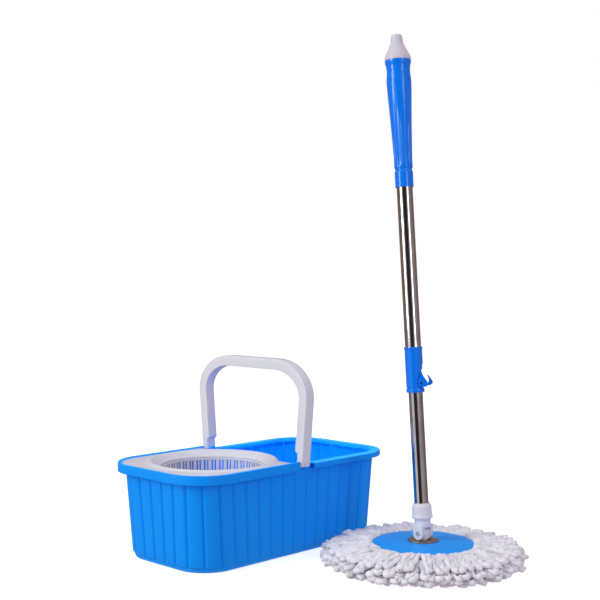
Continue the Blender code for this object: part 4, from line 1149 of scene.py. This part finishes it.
@dataclass
class Wringer:
    """Tray with its splash ring, the spinning basket and the drive cone."""

    finishes: Finishes
    bucket: Bucket
    edge_x: float = -20.0
    thick: float = 3.2
    gap: float = 0.6
    ring_r: float = 104.4
    ring_top_z: float = 152.6
    skirt_r: float = 101.2
    skirt_z: float = 138.5
    throat_r: float = 83.4
    throat_z: float = 141.5
    basket_top_r: float = 84.2
    basket_floor_r: float = 76.5
    basket_wall: float = 2.2
    basket_top_z: float = 141.2
    basket_floor_z: float = 23.0
    slot_top_z: float = 137.6
    slot_bottom_z: float = 44.0
    slot_pairs: int = 40

    def plate_reach(self, turn: float) -> float:
        """How far the tray's plate runs from the basket's axis.

        Args:
            turn: The direction, in radians.

        Returns:
            The distance to the plate's edge.
        """
        offset = self.bucket.band_out - self.bucket.lip_width - self.gap
        length, width, radius = self.bucket.size(self.bucket.flange_z)
        corner_x = -length / 2 + radius - BASKET_X
        edge, half, reach = self.edge_x - BASKET_X, width / 2 + offset, radius + offset
        cos, sin = math.cos(turn), math.sin(turn)
        low, high = 0.0, 400.0
        for _ in range(40):
            mid = (low + high) / 2
            x, y = mid * cos, abs(mid * sin)
            inside = x < edge and y < half
            if inside and x < corner_x:
                off_x, off_y = corner_x - x, max(0.0, y - (half - reach))
                inside = off_x < reach if off_y == 0 else math.hypot(off_x, off_y) < reach
            low, high = (mid, high) if inside else (low, mid)
        return low

    def tray_shape(self, segments: int = 288) -> Shape:
        """Plate, ring and funnel as one closed skin round the basket's axis."""
        low = self.bucket.flange_z + 0.3
        top = low + self.thick
        inner = self.skirt_r - 2.4
        loops = []
        for k in range(segments):
            turn = 2 * math.pi * (k + 0.5) / segments
            out = max(self.plate_reach(turn), self.ring_r + 0.3)
            meets = self.ring_r + 0.15 + 4.0 * smooth(2.0, 8.0, out - self.ring_r)
            profile = softened([
                (self.skirt_r, self.skirt_z), (self.skirt_r, low), (out, low), (out, top), (meets, top),
                (self.ring_r - 1.0, self.ring_top_z - 0.8), (self.ring_r - 4.0, self.ring_top_z),
                (self.ring_r - 7.5, self.ring_top_z - 1.2), (self.throat_r + 1.2, self.throat_z + 2.4),
                (self.throat_r, self.throat_z), (self.throat_r + 2.4, self.throat_z),
                (inner, self.ring_top_z - 3.2), (inner, self.skirt_z),
            ], 1.6, 3)
            loops.append([(r * math.cos(turn), r * math.sin(turn), z) for r, z in profile])
        return loft(loops, ring=True)

    def wall_r(self, z: float) -> float:
        """Outer radius of the basket's wall at a height."""
        fall = (self.basket_top_r - self.basket_floor_r) / (self.basket_top_z - self.basket_floor_z)
        return self.basket_top_r - (self.basket_top_z - z) * fall

    def bar(self, start: float, share: float) -> Shape:
        """One bar of the basket's wall.

        Args:
            start: Where it starts, as a share of a pair's pitch.
            share: Its width, as a share of that pitch.

        Returns:
            The bar, a little longer than the slots.
        """
        pitch = 2 * math.pi / self.slot_pairs
        loops = []
        for z in (self.slot_bottom_z - 1.5, 70.0, 100.0, self.slot_top_z + 1.0):
            outer = self.wall_r(z)
            width = pitch * share * outer
            corners = [(outer - self.basket_wall, -width / 2), (outer, -width / 2), (outer, width / 2),
                       (outer - self.basket_wall, width / 2)]
            spin = Matrix.Rotation(pitch * (start + share / 2), 2)
            loops.append([(*(spin @ Vector(p)), z) for p in softened(corners, 0.5, 2)])
        return loft(loops)

    def build(self) -> None:
        """Make the tray, the basket and the cone."""
        Piece("splash_tray", self.tray_shape(), BASKET).ready(
            self.finishes.white, Body.BUCKET, Slot.WHITE, "basket_tray")
        floor, wall = self.basket_floor_z, self.basket_wall
        rim_r, rim_low = self.wall_r(self.slot_top_z), self.slot_top_z - 0.3
        rim = softened([
            (rim_r - wall, rim_low), (rim_r, rim_low),
            (self.basket_top_r, self.basket_top_z), (self.basket_top_r - wall, self.basket_top_z),
        ], 0.6, 2)
        cup = softened([
            (self.wall_r(self.slot_bottom_z), self.slot_bottom_z), (self.wall_r(floor + 7), floor + 7),
            (self.basket_floor_r - 5, floor), (60.0, floor), (60.0, floor + wall),
            (self.basket_floor_r - 6, floor + wall), (self.wall_r(floor + 7) - wall, floor + 7),
            (self.wall_r(self.slot_bottom_z) - wall, self.slot_bottom_z),
        ], 0.7, 2)
        heart = softened([(20.0, floor), (30.0, floor), (30.0, floor + wall), (20.0, floor + wall)], 0.5, 2)
        body = lathe(rim, 160).beside(lathe(cup, 160), lathe(heart, 96))
        wall_part = Piece("bars", self.bar(0.2, 0.2).beside(self.bar(0.6, 0.4)))
        spoke_corners = softened([(29.6, -2.3), (60.4, -4.6), (60.4, 4.6), (29.6, 2.3)], 0.1, 1)
        floor_part = Piece("spokes", prism(spoke_corners, floor + 0.1, floor + wall - 0.1))
        basket = Piece("basket", body, BASKET)
        around = RoundTheAxis()
        axis = (BASKET_X * MM, 0.0, 0.0)
        white = self.finishes.white
        basket.grown(around, part=wall_part.object, count=self.slot_pairs, axis=axis, material=white)
        basket.grown(around, part=floor_part.object, count=20, axis=axis, material=white)
        for helper in (wall_part, floor_part):
            bpy.data.objects.remove(helper.object, do_unlink=True)
        basket.ready(white, Body.BASKET, Slot.WHITE, "spin_basket")
        cone = softened([
            (0.0, 48.3), (4.3, 48.3), (4.3, 15.9), (9.0, 15.9), (19.7, floor), (19.7, 25.7), (26.0, 25.7),
            (26.0, 27.4), (16.0, 29.4), (11.0, 50.0), (7.0, 55.0), (0.0, 56.0),
        ], 1.2, 3, closed=False)
        Piece("drive_cone", lathe(cone, 96, closed=False), BASKET).ready(
            white, Body.BASKET, Slot.WHITE, "basket_hub")


# ---------------------------------------------------------------- mop head


@dataclass
class MopHead:
    """Disc, washer, knuckle and the skirt of yarn."""

    finishes: Finishes
    disc_r: float = 80.0
    edge_z: float = 34.7
    centre_z: float = 37.6
    disc_thick: float = 3.2
    washer_r: float = 23.7
    washer_thick: float = 1.1
    stem_r: float = 6.7
    stem_bottom_z: float = 20.2
    ear_r: float = 8.7
    ear_gap: float = 7.1
    pin_bore_r: float = 2.9
    yarn_root_r: float = 74.0
    yarn_rest_z: float = 5.6
    seed: int = 11

    def strand(self, chance: random.Random, turn: float, layer: int) -> list[Point]:
        """The centreline of one loop of yarn, out to its tip and back.

        Args:
            chance: Source of the loop's irregularities.
            turn: Direction of the loop round the head.
            layer: 0 on the floor, rising to 3 on top.

        Returns:
            Points in the head's frame.
        """
        reach = (147.0, 158.0, 158.0, 149.0)[layer] - chance.uniform(0, 9)
        crown = (17.0, 23.0, 29.0, 33.5)[layer] + chance.uniform(-1.5, 2.0)
        root = self.yarn_root_r + chance.uniform(-2, 4)
        tip_z = (7.0, 12.0, 19.0, 27.0)[layer] + chance.uniform(-2, 3)
        half = chance.uniform(3.2, 4.8)
        sway, bend = chance.uniform(-10, 10), chance.uniform(0.7, 1.6)
        waves, lifts = (
            [(chance.uniform(*height), chance.uniform(*length), chance.uniform(0, 6.3)) for _ in range(2)]
            for height, length in (((0.8, 2.1), (28, 60)), ((0.3, 0.9), (26, 50)))
        )
        points = []
        count = 22
        side: list[Point] = []
        for leg in (-1, 1):
            back = list(side)
            side = []
            for k in range(count + 1):
                s = k / count
                r = root + (reach - half - root) * s
                under = 24.0 - 3.0 * (3 - layer)
                z = under + (crown - under) * smooth(0.0, 0.16, s)
                z += (tip_z - crown) * smooth(0.15, 1.1, s)
                across = leg * half * (0.75 + 0.25 * math.sin(2.6 * s + leg)) + sway * s ** bend
                run = r + leg * 5
                for size, length, phase in waves:
                    across += size * s ** 0.5 * math.sin(2 * math.pi * run / length + phase + leg)
                for size, length, phase in lifts:
                    z += size * math.sin(2 * math.pi * run / length + phase) * smooth(0.1, 0.4, s)
                side.append((r, across, max(z, self.yarn_rest_z)))
            if leg > 0:
                (r, left, low), right = back[-1], side[-1][1]
                middle, spread = (left + right) / 2, (right - left) / 2
                arcs = [math.pi * k / 8 for k in range(1, 8)]
                height = (low + side[-1][2]) / 2
                tip = [(r + half * 1.15 * math.sin(a), middle - spread * math.cos(a), height) for a in arcs]
                points = back + tip + list(reversed(side))
        cos, sin = math.cos(turn), math.sin(turn)
        return [(r * cos - y * sin, r * sin + y * cos, z) for r, y, z in points]

    def build_yarn(self) -> None:
        """Make the yarn in four layers of loops."""
        chance = random.Random(self.seed)
        recipe = TwistedYarn()
        for layer, loops in enumerate((76, 76, 72, 66)):
            points: list[Point] = []
            edges = []
            for k in range(loops):
                turn = 2 * math.pi * (k + layer * 0.37 + chance.uniform(-0.3, 0.3)) / loops
                line = self.strand(chance, turn, layer)
                start = len(points)
                points += line
                edges += [(start + i, start + i + 1) for i in range(len(line) - 1)]
            skirt = Piece(f"yarn_layer_{layer + 1}", Shape(points, []), HEAD)
            mesh = skirt.object.data
            mesh.clear_geometry()
            placed = Shape(points, []).placed(HEAD).points
            mesh.from_pydata([(x * MM, y * MM, z * MM) for x, y, z in placed], edges, [])
            skirt.grown(recipe, seed=float(layer + 1), material=self.finishes.yarn)
            stands_for = ("yarn_mat",) if layer == 0 else ()
            made = skirt.ready(self.finishes.yarn, Body.HEAD, Slot.YARN, *stands_for, sharp=180)

    def build(self) -> None:
        """Make the disc, washer, knuckle and yarn."""
        blue, white = self.finishes.disc_blue, self.finishes.white
        bore, low = self.stem_r + 0.3, self.edge_z - self.disc_thick
        disc = softened([
            (bore, self.centre_z), (self.washer_r + 1.2, self.centre_z),
            (self.washer_r + 2.4, self.centre_z + 0.5),
            (self.disc_r * 0.65, self.centre_z - 0.7), (self.disc_r - 3.0, self.edge_z + 0.3),
            (self.disc_r, self.edge_z - 1.0), (self.disc_r - 0.4, low), (14.0, low),
            (13.0, self.stem_bottom_z + 4), (bore, self.stem_bottom_z + 4),
        ], 2.0, 3)
        Piece("head_disc", lathe(disc, 160), HEAD).ready(blue, Body.HEAD, Slot.BUCKET_BLUE, "mop_disc")
        base = self.centre_z + 0.3
        washer = softened([
            (bore, base), (self.washer_r, base), (self.washer_r, base + self.washer_thick),
            (self.washer_r - 2.2, base + self.washer_thick + 0.25), (bore, base + self.washer_thick + 0.25),
        ], 0.35, 2)
        Piece("head_washer", lathe(washer, 96), HEAD).ready(
            self.finishes.washer, Body.HEAD, Slot.STEEL, "disc_washer")
        side = self.ear_r - 0.3
        outline = [(-side, PIN_Z - self.ear_r + 1.0), (side, PIN_Z - self.ear_r + 1.0)]
        outline += half_circle(side, PIN_Z, 1)
        half = self.ear_gap - 0.3
        tongue = Piece("tilt_tongue", prism(outline, -half, half, CROSSWAYS), HEAD)
        tongue.joined(prism(circle(self.stem_r, 64), self.stem_bottom_z, PIN_Z - self.ear_r / 2))
        tongue.cut(prism(circle(self.pin_bore_r, 32, (0, PIN_Z)), -20, 20, CROSSWAYS))
        tongue.bevelled(0.7, 50, 3).ready(white, Body.HEAD, Slot.WHITE, "tilt_knuckle")
        self.build_yarn()


# ---------------------------------------------------------------- pole and handle


@dataclass
class Pole:
    """Connector, cap nut and the lower tube."""

    finishes: Finishes
    ear_r: float = 8.7
    ear_gap: float = 7.1
    ear_out: float = 13.6
    pin_bore_r: float = 2.9
    pin_head_r: float = 3.9
    pin_head_depth: float = 1.6
    neck_r: float = 12.75
    neck_bottom: float = 10.0
    skirt_bottom: float = 7.6
    neck_top: float = 23.0
    nut_r: float = 15.25
    nut_top: float = 47.0
    tube_r: float = 11.0
    tube_wall: float = 0.8
    tube_top: float = 532.0

    def build(self) -> None:
        """Make the connector, the nut and the tube."""
        white = self.finishes.white
        spigot = self.tube_r - self.tube_wall - 0.3
        neck_r, low, top = self.neck_r, self.skirt_bottom, self.neck_top
        neck = [
            (0.0, low), (neck_r - 1.2, low), (neck_r, low + 1.2), (neck_r, top - 5.2),
            (neck_r - 0.45, top - 4.8), (neck_r - 0.45, top - 4.0), (neck_r, top - 3.6), (neck_r, top),
            (spigot, top), (spigot, top + 34), (spigot - 1.5, top + 36), (0.0, top + 36),
        ]
        fork = Piece("pole_connector", lathe(softened(neck, 0.3, 2, closed=False), 80, closed=False), POLE)
        gap = self.ear_gap
        slot = [(-gap, -30.0), (gap, -30.0), (gap, 30.0), (-gap, 30.0)]
        fork.cut(prism(slot, 0.0, self.neck_bottom))
        outline = [(self.ear_r, self.neck_bottom + 3), (-self.ear_r, self.neck_bottom + 3)]
        outline += half_circle(self.ear_r, 0.0, -1)
        for side in (-1, 1):
            fork.joined(prism(outline, *sided(side, self.ear_gap, self.ear_out), CROSSWAYS))
        fork.cut(prism(circle(self.pin_bore_r, 32), -20, 20, CROSSWAYS))
        for side in (1, -1):
            head = sided(side, self.ear_out - self.pin_head_depth, 20)
            fork.cut(prism(circle(self.pin_head_r, 32), *head, CROSSWAYS))
        fork.bevelled(0.7, 50, 3).ready(white, Body.LOWER_POLE, Slot.WHITE, "pole_fork")
        bore, low = self.tube_r + 0.3, self.neck_top + 0.3
        nut = softened([
            (bore, low), (self.nut_r + 1.0, low), (self.nut_r + 1.0, low + 4.2), (self.nut_r, low + 5.6),
            (self.nut_r, self.nut_top - 4.2), (self.nut_r - 2.6, self.nut_top), (bore, self.nut_top),
        ], 1.3, 4)
        Piece("cap_nut", lathe(nut, 128), POLE).ready(
            white, Body.LOWER_POLE, Slot.WHITE, "coupling_nut", sharp=60)
        tube = [(self.tube_r - self.tube_wall, low), (self.tube_r, low), (self.tube_r, self.tube_top),
                (self.tube_r - self.tube_wall, self.tube_top)]
        Piece("lower_tube_fine", lathe(tube, 128), POLE).ready(
            self.finishes.lower_chrome, Body.LOWER_POLE, Slot.CHROME, "lower_tube", sharp=40)


@dataclass
class Handle:
    """Upper tube, lock collar with its lever, grip and end cap."""

    finishes: Finishes
    tube_r: float = 12.5
    tube_wall: float = 0.8
    tube_bottom: float = 254.0
    tube_top: float = 696.0
    collar_r: float = 13.75
    collar_ring_r: float = 14.25
    collar_bottom: float = 218.5
    collar_top: float = 289.0
    pivot: tuple[float, float] = (7.7, 233.0)
    arm: tuple[float, float] = (14.1, 16.3)
    pin_r: float = 1.6
    grip_bottom: float = 538.5
    grip_top: float = 737.5
    top_r: float = 20.5
    waist_r: float = 18.2
    bulge_r: float = 19.5
    neck_r: float = 14.2
    cap_top: float = 779.3
    knob_r: float = 9.0
    flutes: int = 12

    def build_collar(self) -> None:
        """Make the lock collar and its lever."""
        blue = self.finishes.handle_blue
        low_bore, high_bore, ledge = 11.3, 12.8, self.tube_bottom - 0.3
        ring, body_r = self.collar_ring_r, self.collar_r
        profile = softened([
            (low_bore, self.collar_bottom), (ring, self.collar_bottom), (ring, self.collar_bottom + 5),
            (body_r - 0.7, self.collar_bottom + 5.6), (body_r - 0.7, self.collar_bottom + 7.2),
            (body_r, self.collar_bottom + 7.8), (body_r, self.collar_top - 3.6),
            (ring, self.collar_top - 3), (ring, self.collar_top),
            (high_bore, self.collar_top), (high_bore, ledge), (low_bore, ledge),
        ], 0.35, 2)
        collar = Piece("pole_collar", lathe(profile, 96), COLLAR)
        x, z = self.pivot
        window = [(x + 1.6, z + 18.7), (14.6, z + 35), (22.0, z + 35), (22.0, z + 6), (14.6, z + 6)]
        collar.cut(prism(window, -20, 20, SIDEWAYS))
        for side in (-1, 1):
            boss = sided(side, body_r - 3.0, self.arm[0] - 0.3)
            collar.joined(prism(circle(3.4, 32, self.pivot), *boss, SIDEWAYS))
            bore = sided(side, body_r - 1.8, self.arm[0] + 2)
            collar.cut(prism(circle(self.pin_r + 0.3, 24, self.pivot), *bore, SIDEWAYS))
        collar.ready(blue, Body.UPPER_POLE, Slot.HANDLE_BLUE, "lock_collar", sharp=40)
        place = COLLAR @ Matrix.Translation((x, 0, z))
        arm = softened([
            (-4.6, -3.2), (-4.6, 4.0), (0.8, 15.8), (9.6, 2.2), (10.0, -1.6), (7.0, -6.0), (1.0, -6.0),
        ], 1.6, 4)
        bridge = softened([(6.7, -6.0), (10.2, -4.4), (10.2, -1.9), (6.7, -2.2)], 0.6, 2)
        finger = softened([
            (8.0, -5.0), (16.0, -4.2), (19.2, -1.6), (19.4, 2.0), (11.8, 14.2), (14.6, 3.2),
            (13.2, -0.6), (8.0, -2.2),
        ], 1.8, 5)
        lever = Piece("collar_lever", prism(bridge, -self.arm[1], self.arm[1], SIDEWAYS), place)
        for side in (-1, 1):
            lever.joined(prism(arm, *sided(side, *self.arm), SIDEWAYS))
        lever.joined(prism(finger, -5.0, 5.0, SIDEWAYS))
        lever.cut(prism(circle(self.pin_r + 0.3, 24), -20, 20, SIDEWAYS))
        lever.bevelled(0.45, 55, 2).ready(blue, Body.LEVER, Slot.HANDLE_BLUE, "lock_lever", sharp=45)

    def grip_profile(self) -> Outline:
        """Outer (r, height) of the grip before its flutes."""
        low, top = self.grip_bottom, self.grip_top
        span = top - low
        return softened([
            (self.neck_r, low), (self.neck_r + 0.2, low + 24), (self.neck_r - 1.0, low + 26),
            (self.neck_r - 1.0, low + 29), (self.neck_r + 0.3, low + 31), (self.neck_r + 0.2, low + 44),
            (self.neck_r + 2.2, low + span * 0.48), (self.bulge_r - 0.6, low + span * 0.74),
            (self.bulge_r, low + span * 0.84), (self.waist_r, top - 18), (self.waist_r + 0.6, top - 9),
            (self.top_r, top - 3), (self.top_r, top),
        ], 6.0, 5, closed=False)

    def grip_shape(self, segments: int = 192) -> Shape:
        """The grip with long flutes that run out to points near its top."""
        bore = self.tube_r + 0.3
        loops = [level(bore, self.grip_bottom, segments)]
        low, top = self.grip_bottom + 33.0, self.grip_top - 34.0
        for r, z in dense(self.grip_profile(), 4.0):
            depth = 1.15 * smooth(low, low + 8, z) * (1 - smooth(low + 30, top, z))
            loop = []
            for k in range(segments):
                a = 2 * math.pi * k / segments
                wave = abs(math.sin(self.flutes * a / 2)) ** 1.4
                narrow = smooth(0.0, 1.0, wave)
                loop.append(((r - depth * narrow) * math.cos(a), (r - depth * narrow) * math.sin(a), z))
            loops.append(loop)
        loops.append(level(bore, self.grip_top, segments))
        return loft(loops, ring=True)

    def cap_shape(self, segments: int = 160) -> Shape:
        """The end cap: a shouldered knob with a raised arch on two sides."""
        spigot, low, wide = self.tube_r - 0.4, self.grip_top + 0.3, self.top_r - 0.5
        outer = softened([
            (wide, low), (wide, low + 4), (wide - 2.0, low + 9), (self.knob_r + 3.5, low + 20),
            (self.knob_r + 0.6, low + 28), (self.knob_r, self.cap_top - 4.5),
            (self.knob_r - 1.4, self.cap_top - 1.2), (self.knob_r - 4, self.cap_top), (0.0, self.cap_top),
        ], 3.0, 5, closed=False)
        inner: Outline = [(0.0, low - 12), (spigot, low - 12), (spigot, low)]
        loops = []
        for index, (r, z) in enumerate(inner + dense(outer, 1.0)):
            loop = []
            for k in range(segments):
                a = 2 * math.pi * k / segments
                side = abs(math.sin(a - COLLAR_TURN)) * r
                span = 11.5 * math.sqrt(max(0.0, 1 - ((z - low - 3) / 23.0) ** 2)) if z > low + 2 else 0.0
                inside = smooth(span + 0.9, span - 0.9, side) if span and abs(z - low) < 26 else 0.0
                push = 0.0 if index < len(inner) or z > self.cap_top - 8 else 0.7 * inside
                loop.append(((r + push) * math.cos(a), (r + push) * math.sin(a), z))
            loops.append(loop)
        return loft(loops, caps=False)

    def build(self) -> None:
        """Make the upper tube, the collar, the grip and the cap."""
        tube = [(self.tube_r - self.tube_wall, self.tube_bottom), (self.tube_r, self.tube_bottom),
                (self.tube_r, self.tube_top), (self.tube_r - self.tube_wall, self.tube_top)]
        Piece("upper_tube_fine", lathe(tube, 128), POLE).ready(
            self.finishes.upper_chrome, Body.UPPER_POLE, Slot.CHROME, "upper_tube", sharp=40)
        self.build_collar()
        Piece("grip", self.grip_shape(), POLE).ready(
            self.finishes.handle_blue, Body.UPPER_POLE, Slot.HANDLE_BLUE, "handle_grip")
        # The cap's finish is a darker copy of the white plastic: painted shade.
        Piece("end_cap", self.cap_shape(), POLE).ready(
            self.finishes.cap_painted_shade_white, Body.UPPER_POLE, Slot.WHITE, "grip_cap", sharp=60)


# ---------------------------------------------------------------- kept CAD nodes, studio


def dress_kept_nodes(finishes: Finishes) -> None:
    """Give every CAD node that still shows its procedural finish."""
    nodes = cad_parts
    kept = {
        "basket_spindle": finishes.spindle, "thrust_washer": finishes.spindle, "stem_nut": finishes.fitting,
        "yarn_ring": finishes.white, "tilt_pin": finishes.fitting, "clutch_housing": finishes.black,
        "clutch_cap": finishes.black, "drive_nut": finishes.white, "twisted_rod": finishes.lower_chrome,
        "rod_anchor": finishes.black, "rod_stop": finishes.lower_chrome,
        "lever_pin_left": finishes.lower_chrome, "lever_pin_right": finishes.lower_chrome,
    }
    for name, finish in kept.items():
        mesh = nodes[name].data
        mesh.materials.clear()
        mesh.materials.append(finish)
        log.info("%s keeps its CAD shape in %s", name, finish.name)


@dataclass
class Studio:
    """Pale floor, soft light and the camera."""

    camera_at: Point = (-1.278, -1.357, 0.455)
    camera_turn: Point = (88.53, 0.0, -45.63)
    lens: float = 67.15
    ambient: Colour = (0.54, 0.495, 0.56)

    def floor(self) -> None:
        """A wide pale floor."""
        coat = Coat("studio_floor")
        grain = coat.noise(4.0, 2.0)
        tone = coat.mix(grain, (0.93, 0.93, 0.935), (0.95, 0.95, 0.95))
        finish = coat.dress(tone, 0.6 + grain * 0.05, [])
        coat.surface.inputs["Emission Color"].default_value = (1.0, 1.0, 1.0, 1.0)
        coat.surface.inputs["Emission Strength"].default_value = 0.62
        plane = Piece("studio_floor", prism(circle(30000.0, 96), -40.0, -0.4))
        plane.object.data.materials.append(finish)
        plane.object.visible_glossy = plane.object.visible_diffuse = False

    def surroundings(self) -> None:
        """Soft white room. Glossy rays alone see painted reflections, bands with a dark side behind the
        camera and brown beyond it, which put stripes in the bright tubes; diffuse rays see an even ambient
        colour and the camera sees white.
        """
        world = bpy.data.worlds.new("studio")
        bpy.context.scene.world = world
        world.use_nodes = True
        wires = Wires(world.node_tree)
        back = world.node_tree.nodes["Background"]
        toward = wires.node("ShaderNodeTexCoord").outputs["Generated"]
        to_camera = Vector((self.camera_at[0] - 0.09, self.camera_at[1] + 0.286)).normalized()
        dots = []
        for x, y in ((to_camera.x, to_camera.y), (to_camera.y, -to_camera.x)):
            made = wires.node("ShaderNodeVectorMath", {"operation": "DOT_PRODUCT"},
                              {0: toward, 1: (x, y, 0.0)})
            dots.append(Number(wires, made.outputs["Value"]))
        ahead, left = dots
        share = wires.maths("ARCTAN2", left, ahead) / (2 * math.pi) + 0.5
        # Painted reflections: bands round the horizon, brown, dark towards the camera and bright at the
        # sides, seen only by glossy rays.
        brown, dark = (0.22, 0.17, 0.155), (0.035, 0.03, 0.032)
        stops = [
            (0.0, brown), (0.2, brown), (0.29, (0.32, 0.3, 0.31)), (0.43, (0.5, 0.48, 0.52)), (0.462, dark),
            (0.585, dark), (0.61, (0.8, 0.8, 0.84)), (0.69, (0.8, 0.8, 0.84)), (0.725, brown), (1.0, brown),
        ]
        painted_reflection_bands = wires.ramp(share, stops)
        split = wires.node("ShaderNodeSeparateXYZ", None, {"Vector": toward})
        up = Number(wires, split.outputs["Z"]).ramped(0.35, 0.75)
        mirrored = wires.mix(up, painted_reflection_bands, (0.7, 0.7, 0.72))
        rays = wires.node("ShaderNodeLightPath").outputs
        room = wires.mix(rays["Is Glossy Ray"], self.ambient, mirrored)
        wires.feed(back.inputs["Color"], wires.mix(rays["Is Camera Ray"], room, (1.0, 1.0, 1.0)))

    def light(self, name: str, at: Point, aim: Point, size: tuple[float, float], power: float, tint: Colour,
              only: bpy.types.Object | None = None) -> None:
        """One rectangular softbox.

        Args:
            name: The lamp's name.
            at: Where it stands, in metres.
            aim: The place it faces.
            size: Its width and height.
            power: Its power in watts.
            tint: The colour of its light.
            only: The one object it lights, or None for all of them.
        """
        data = bpy.data.lights.new(name, "AREA")
        data.shape, data.size, data.size_y = "RECTANGLE", *size
        data.energy, data.color = power, tint
        lamp = bpy.data.objects.new(name, data)
        lamp.location = at
        lamp.rotation_euler = (Vector(aim) - Vector(at)).to_track_quat("-Z", "Y").to_euler()
        lamp.visible_camera = False
        bpy.context.scene.collection.objects.link(lamp)
        if only:
            lit = bpy.data.collections.new(f"{name}_lights")
            lit.objects.link(only)
            lamp.light_linking.receiver_collection = lit

    def build(self) -> None:
        """Set up the floor, the lights and the camera."""
        self.floor()
        self.surroundings()
        self.light("key", (-2.27, 0.67, 1.2), (0, 0, 0.25), (0.8, 2.0), 36.0, (0.93, 1.03, 0.93))
        self.light("side", (-0.37, -2.64, 1.1), (0.05, -0.1, 0.4), (0.55, 1.6), 12.0, (1.0, 0.97, 1.0))
        self.light("top", (0.2, 0.1, 2.6), (0, 0, 0), (1.6, 1.6), 9.0, (0.9, 0.97, 1.1))
        self.light("inside", (0.1, -0.02, 0.5), (0.13, 0.1, 0.06), (0.25, 0.1), 1.7, (0.9, 1.0, 1.0),
                   bpy.data.objects["tub"])
        lens = bpy.data.cameras.new("camera")
        lens.lens, lens.sensor_width = self.lens, 36.0
        camera = bpy.data.objects.new("camera", lens)
        camera.location = self.camera_at
        camera.rotation_euler = tuple(math.radians(a) for a in self.camera_turn)
        bpy.context.scene.collection.objects.link(camera)
        bpy.context.scene.camera = camera
        bpy.context.scene.view_settings.view_transform = "Standard"


def main() -> None:
    """Build every sub-assembly in order."""
    logging.basicConfig(level=logging.INFO, format="%(message)s")
    finishes = Finishes()
    bucket = Bucket(finishes)
    bucket.build()
    Bail(finishes).build()
    Wringer(finishes, bucket).build()
    MopHead(finishes).build()
    Pole(finishes).build()
    Handle(finishes).build()
    dress_kept_nodes(finishes)
    Studio().build()


if __name__ == "__main__":
    main()
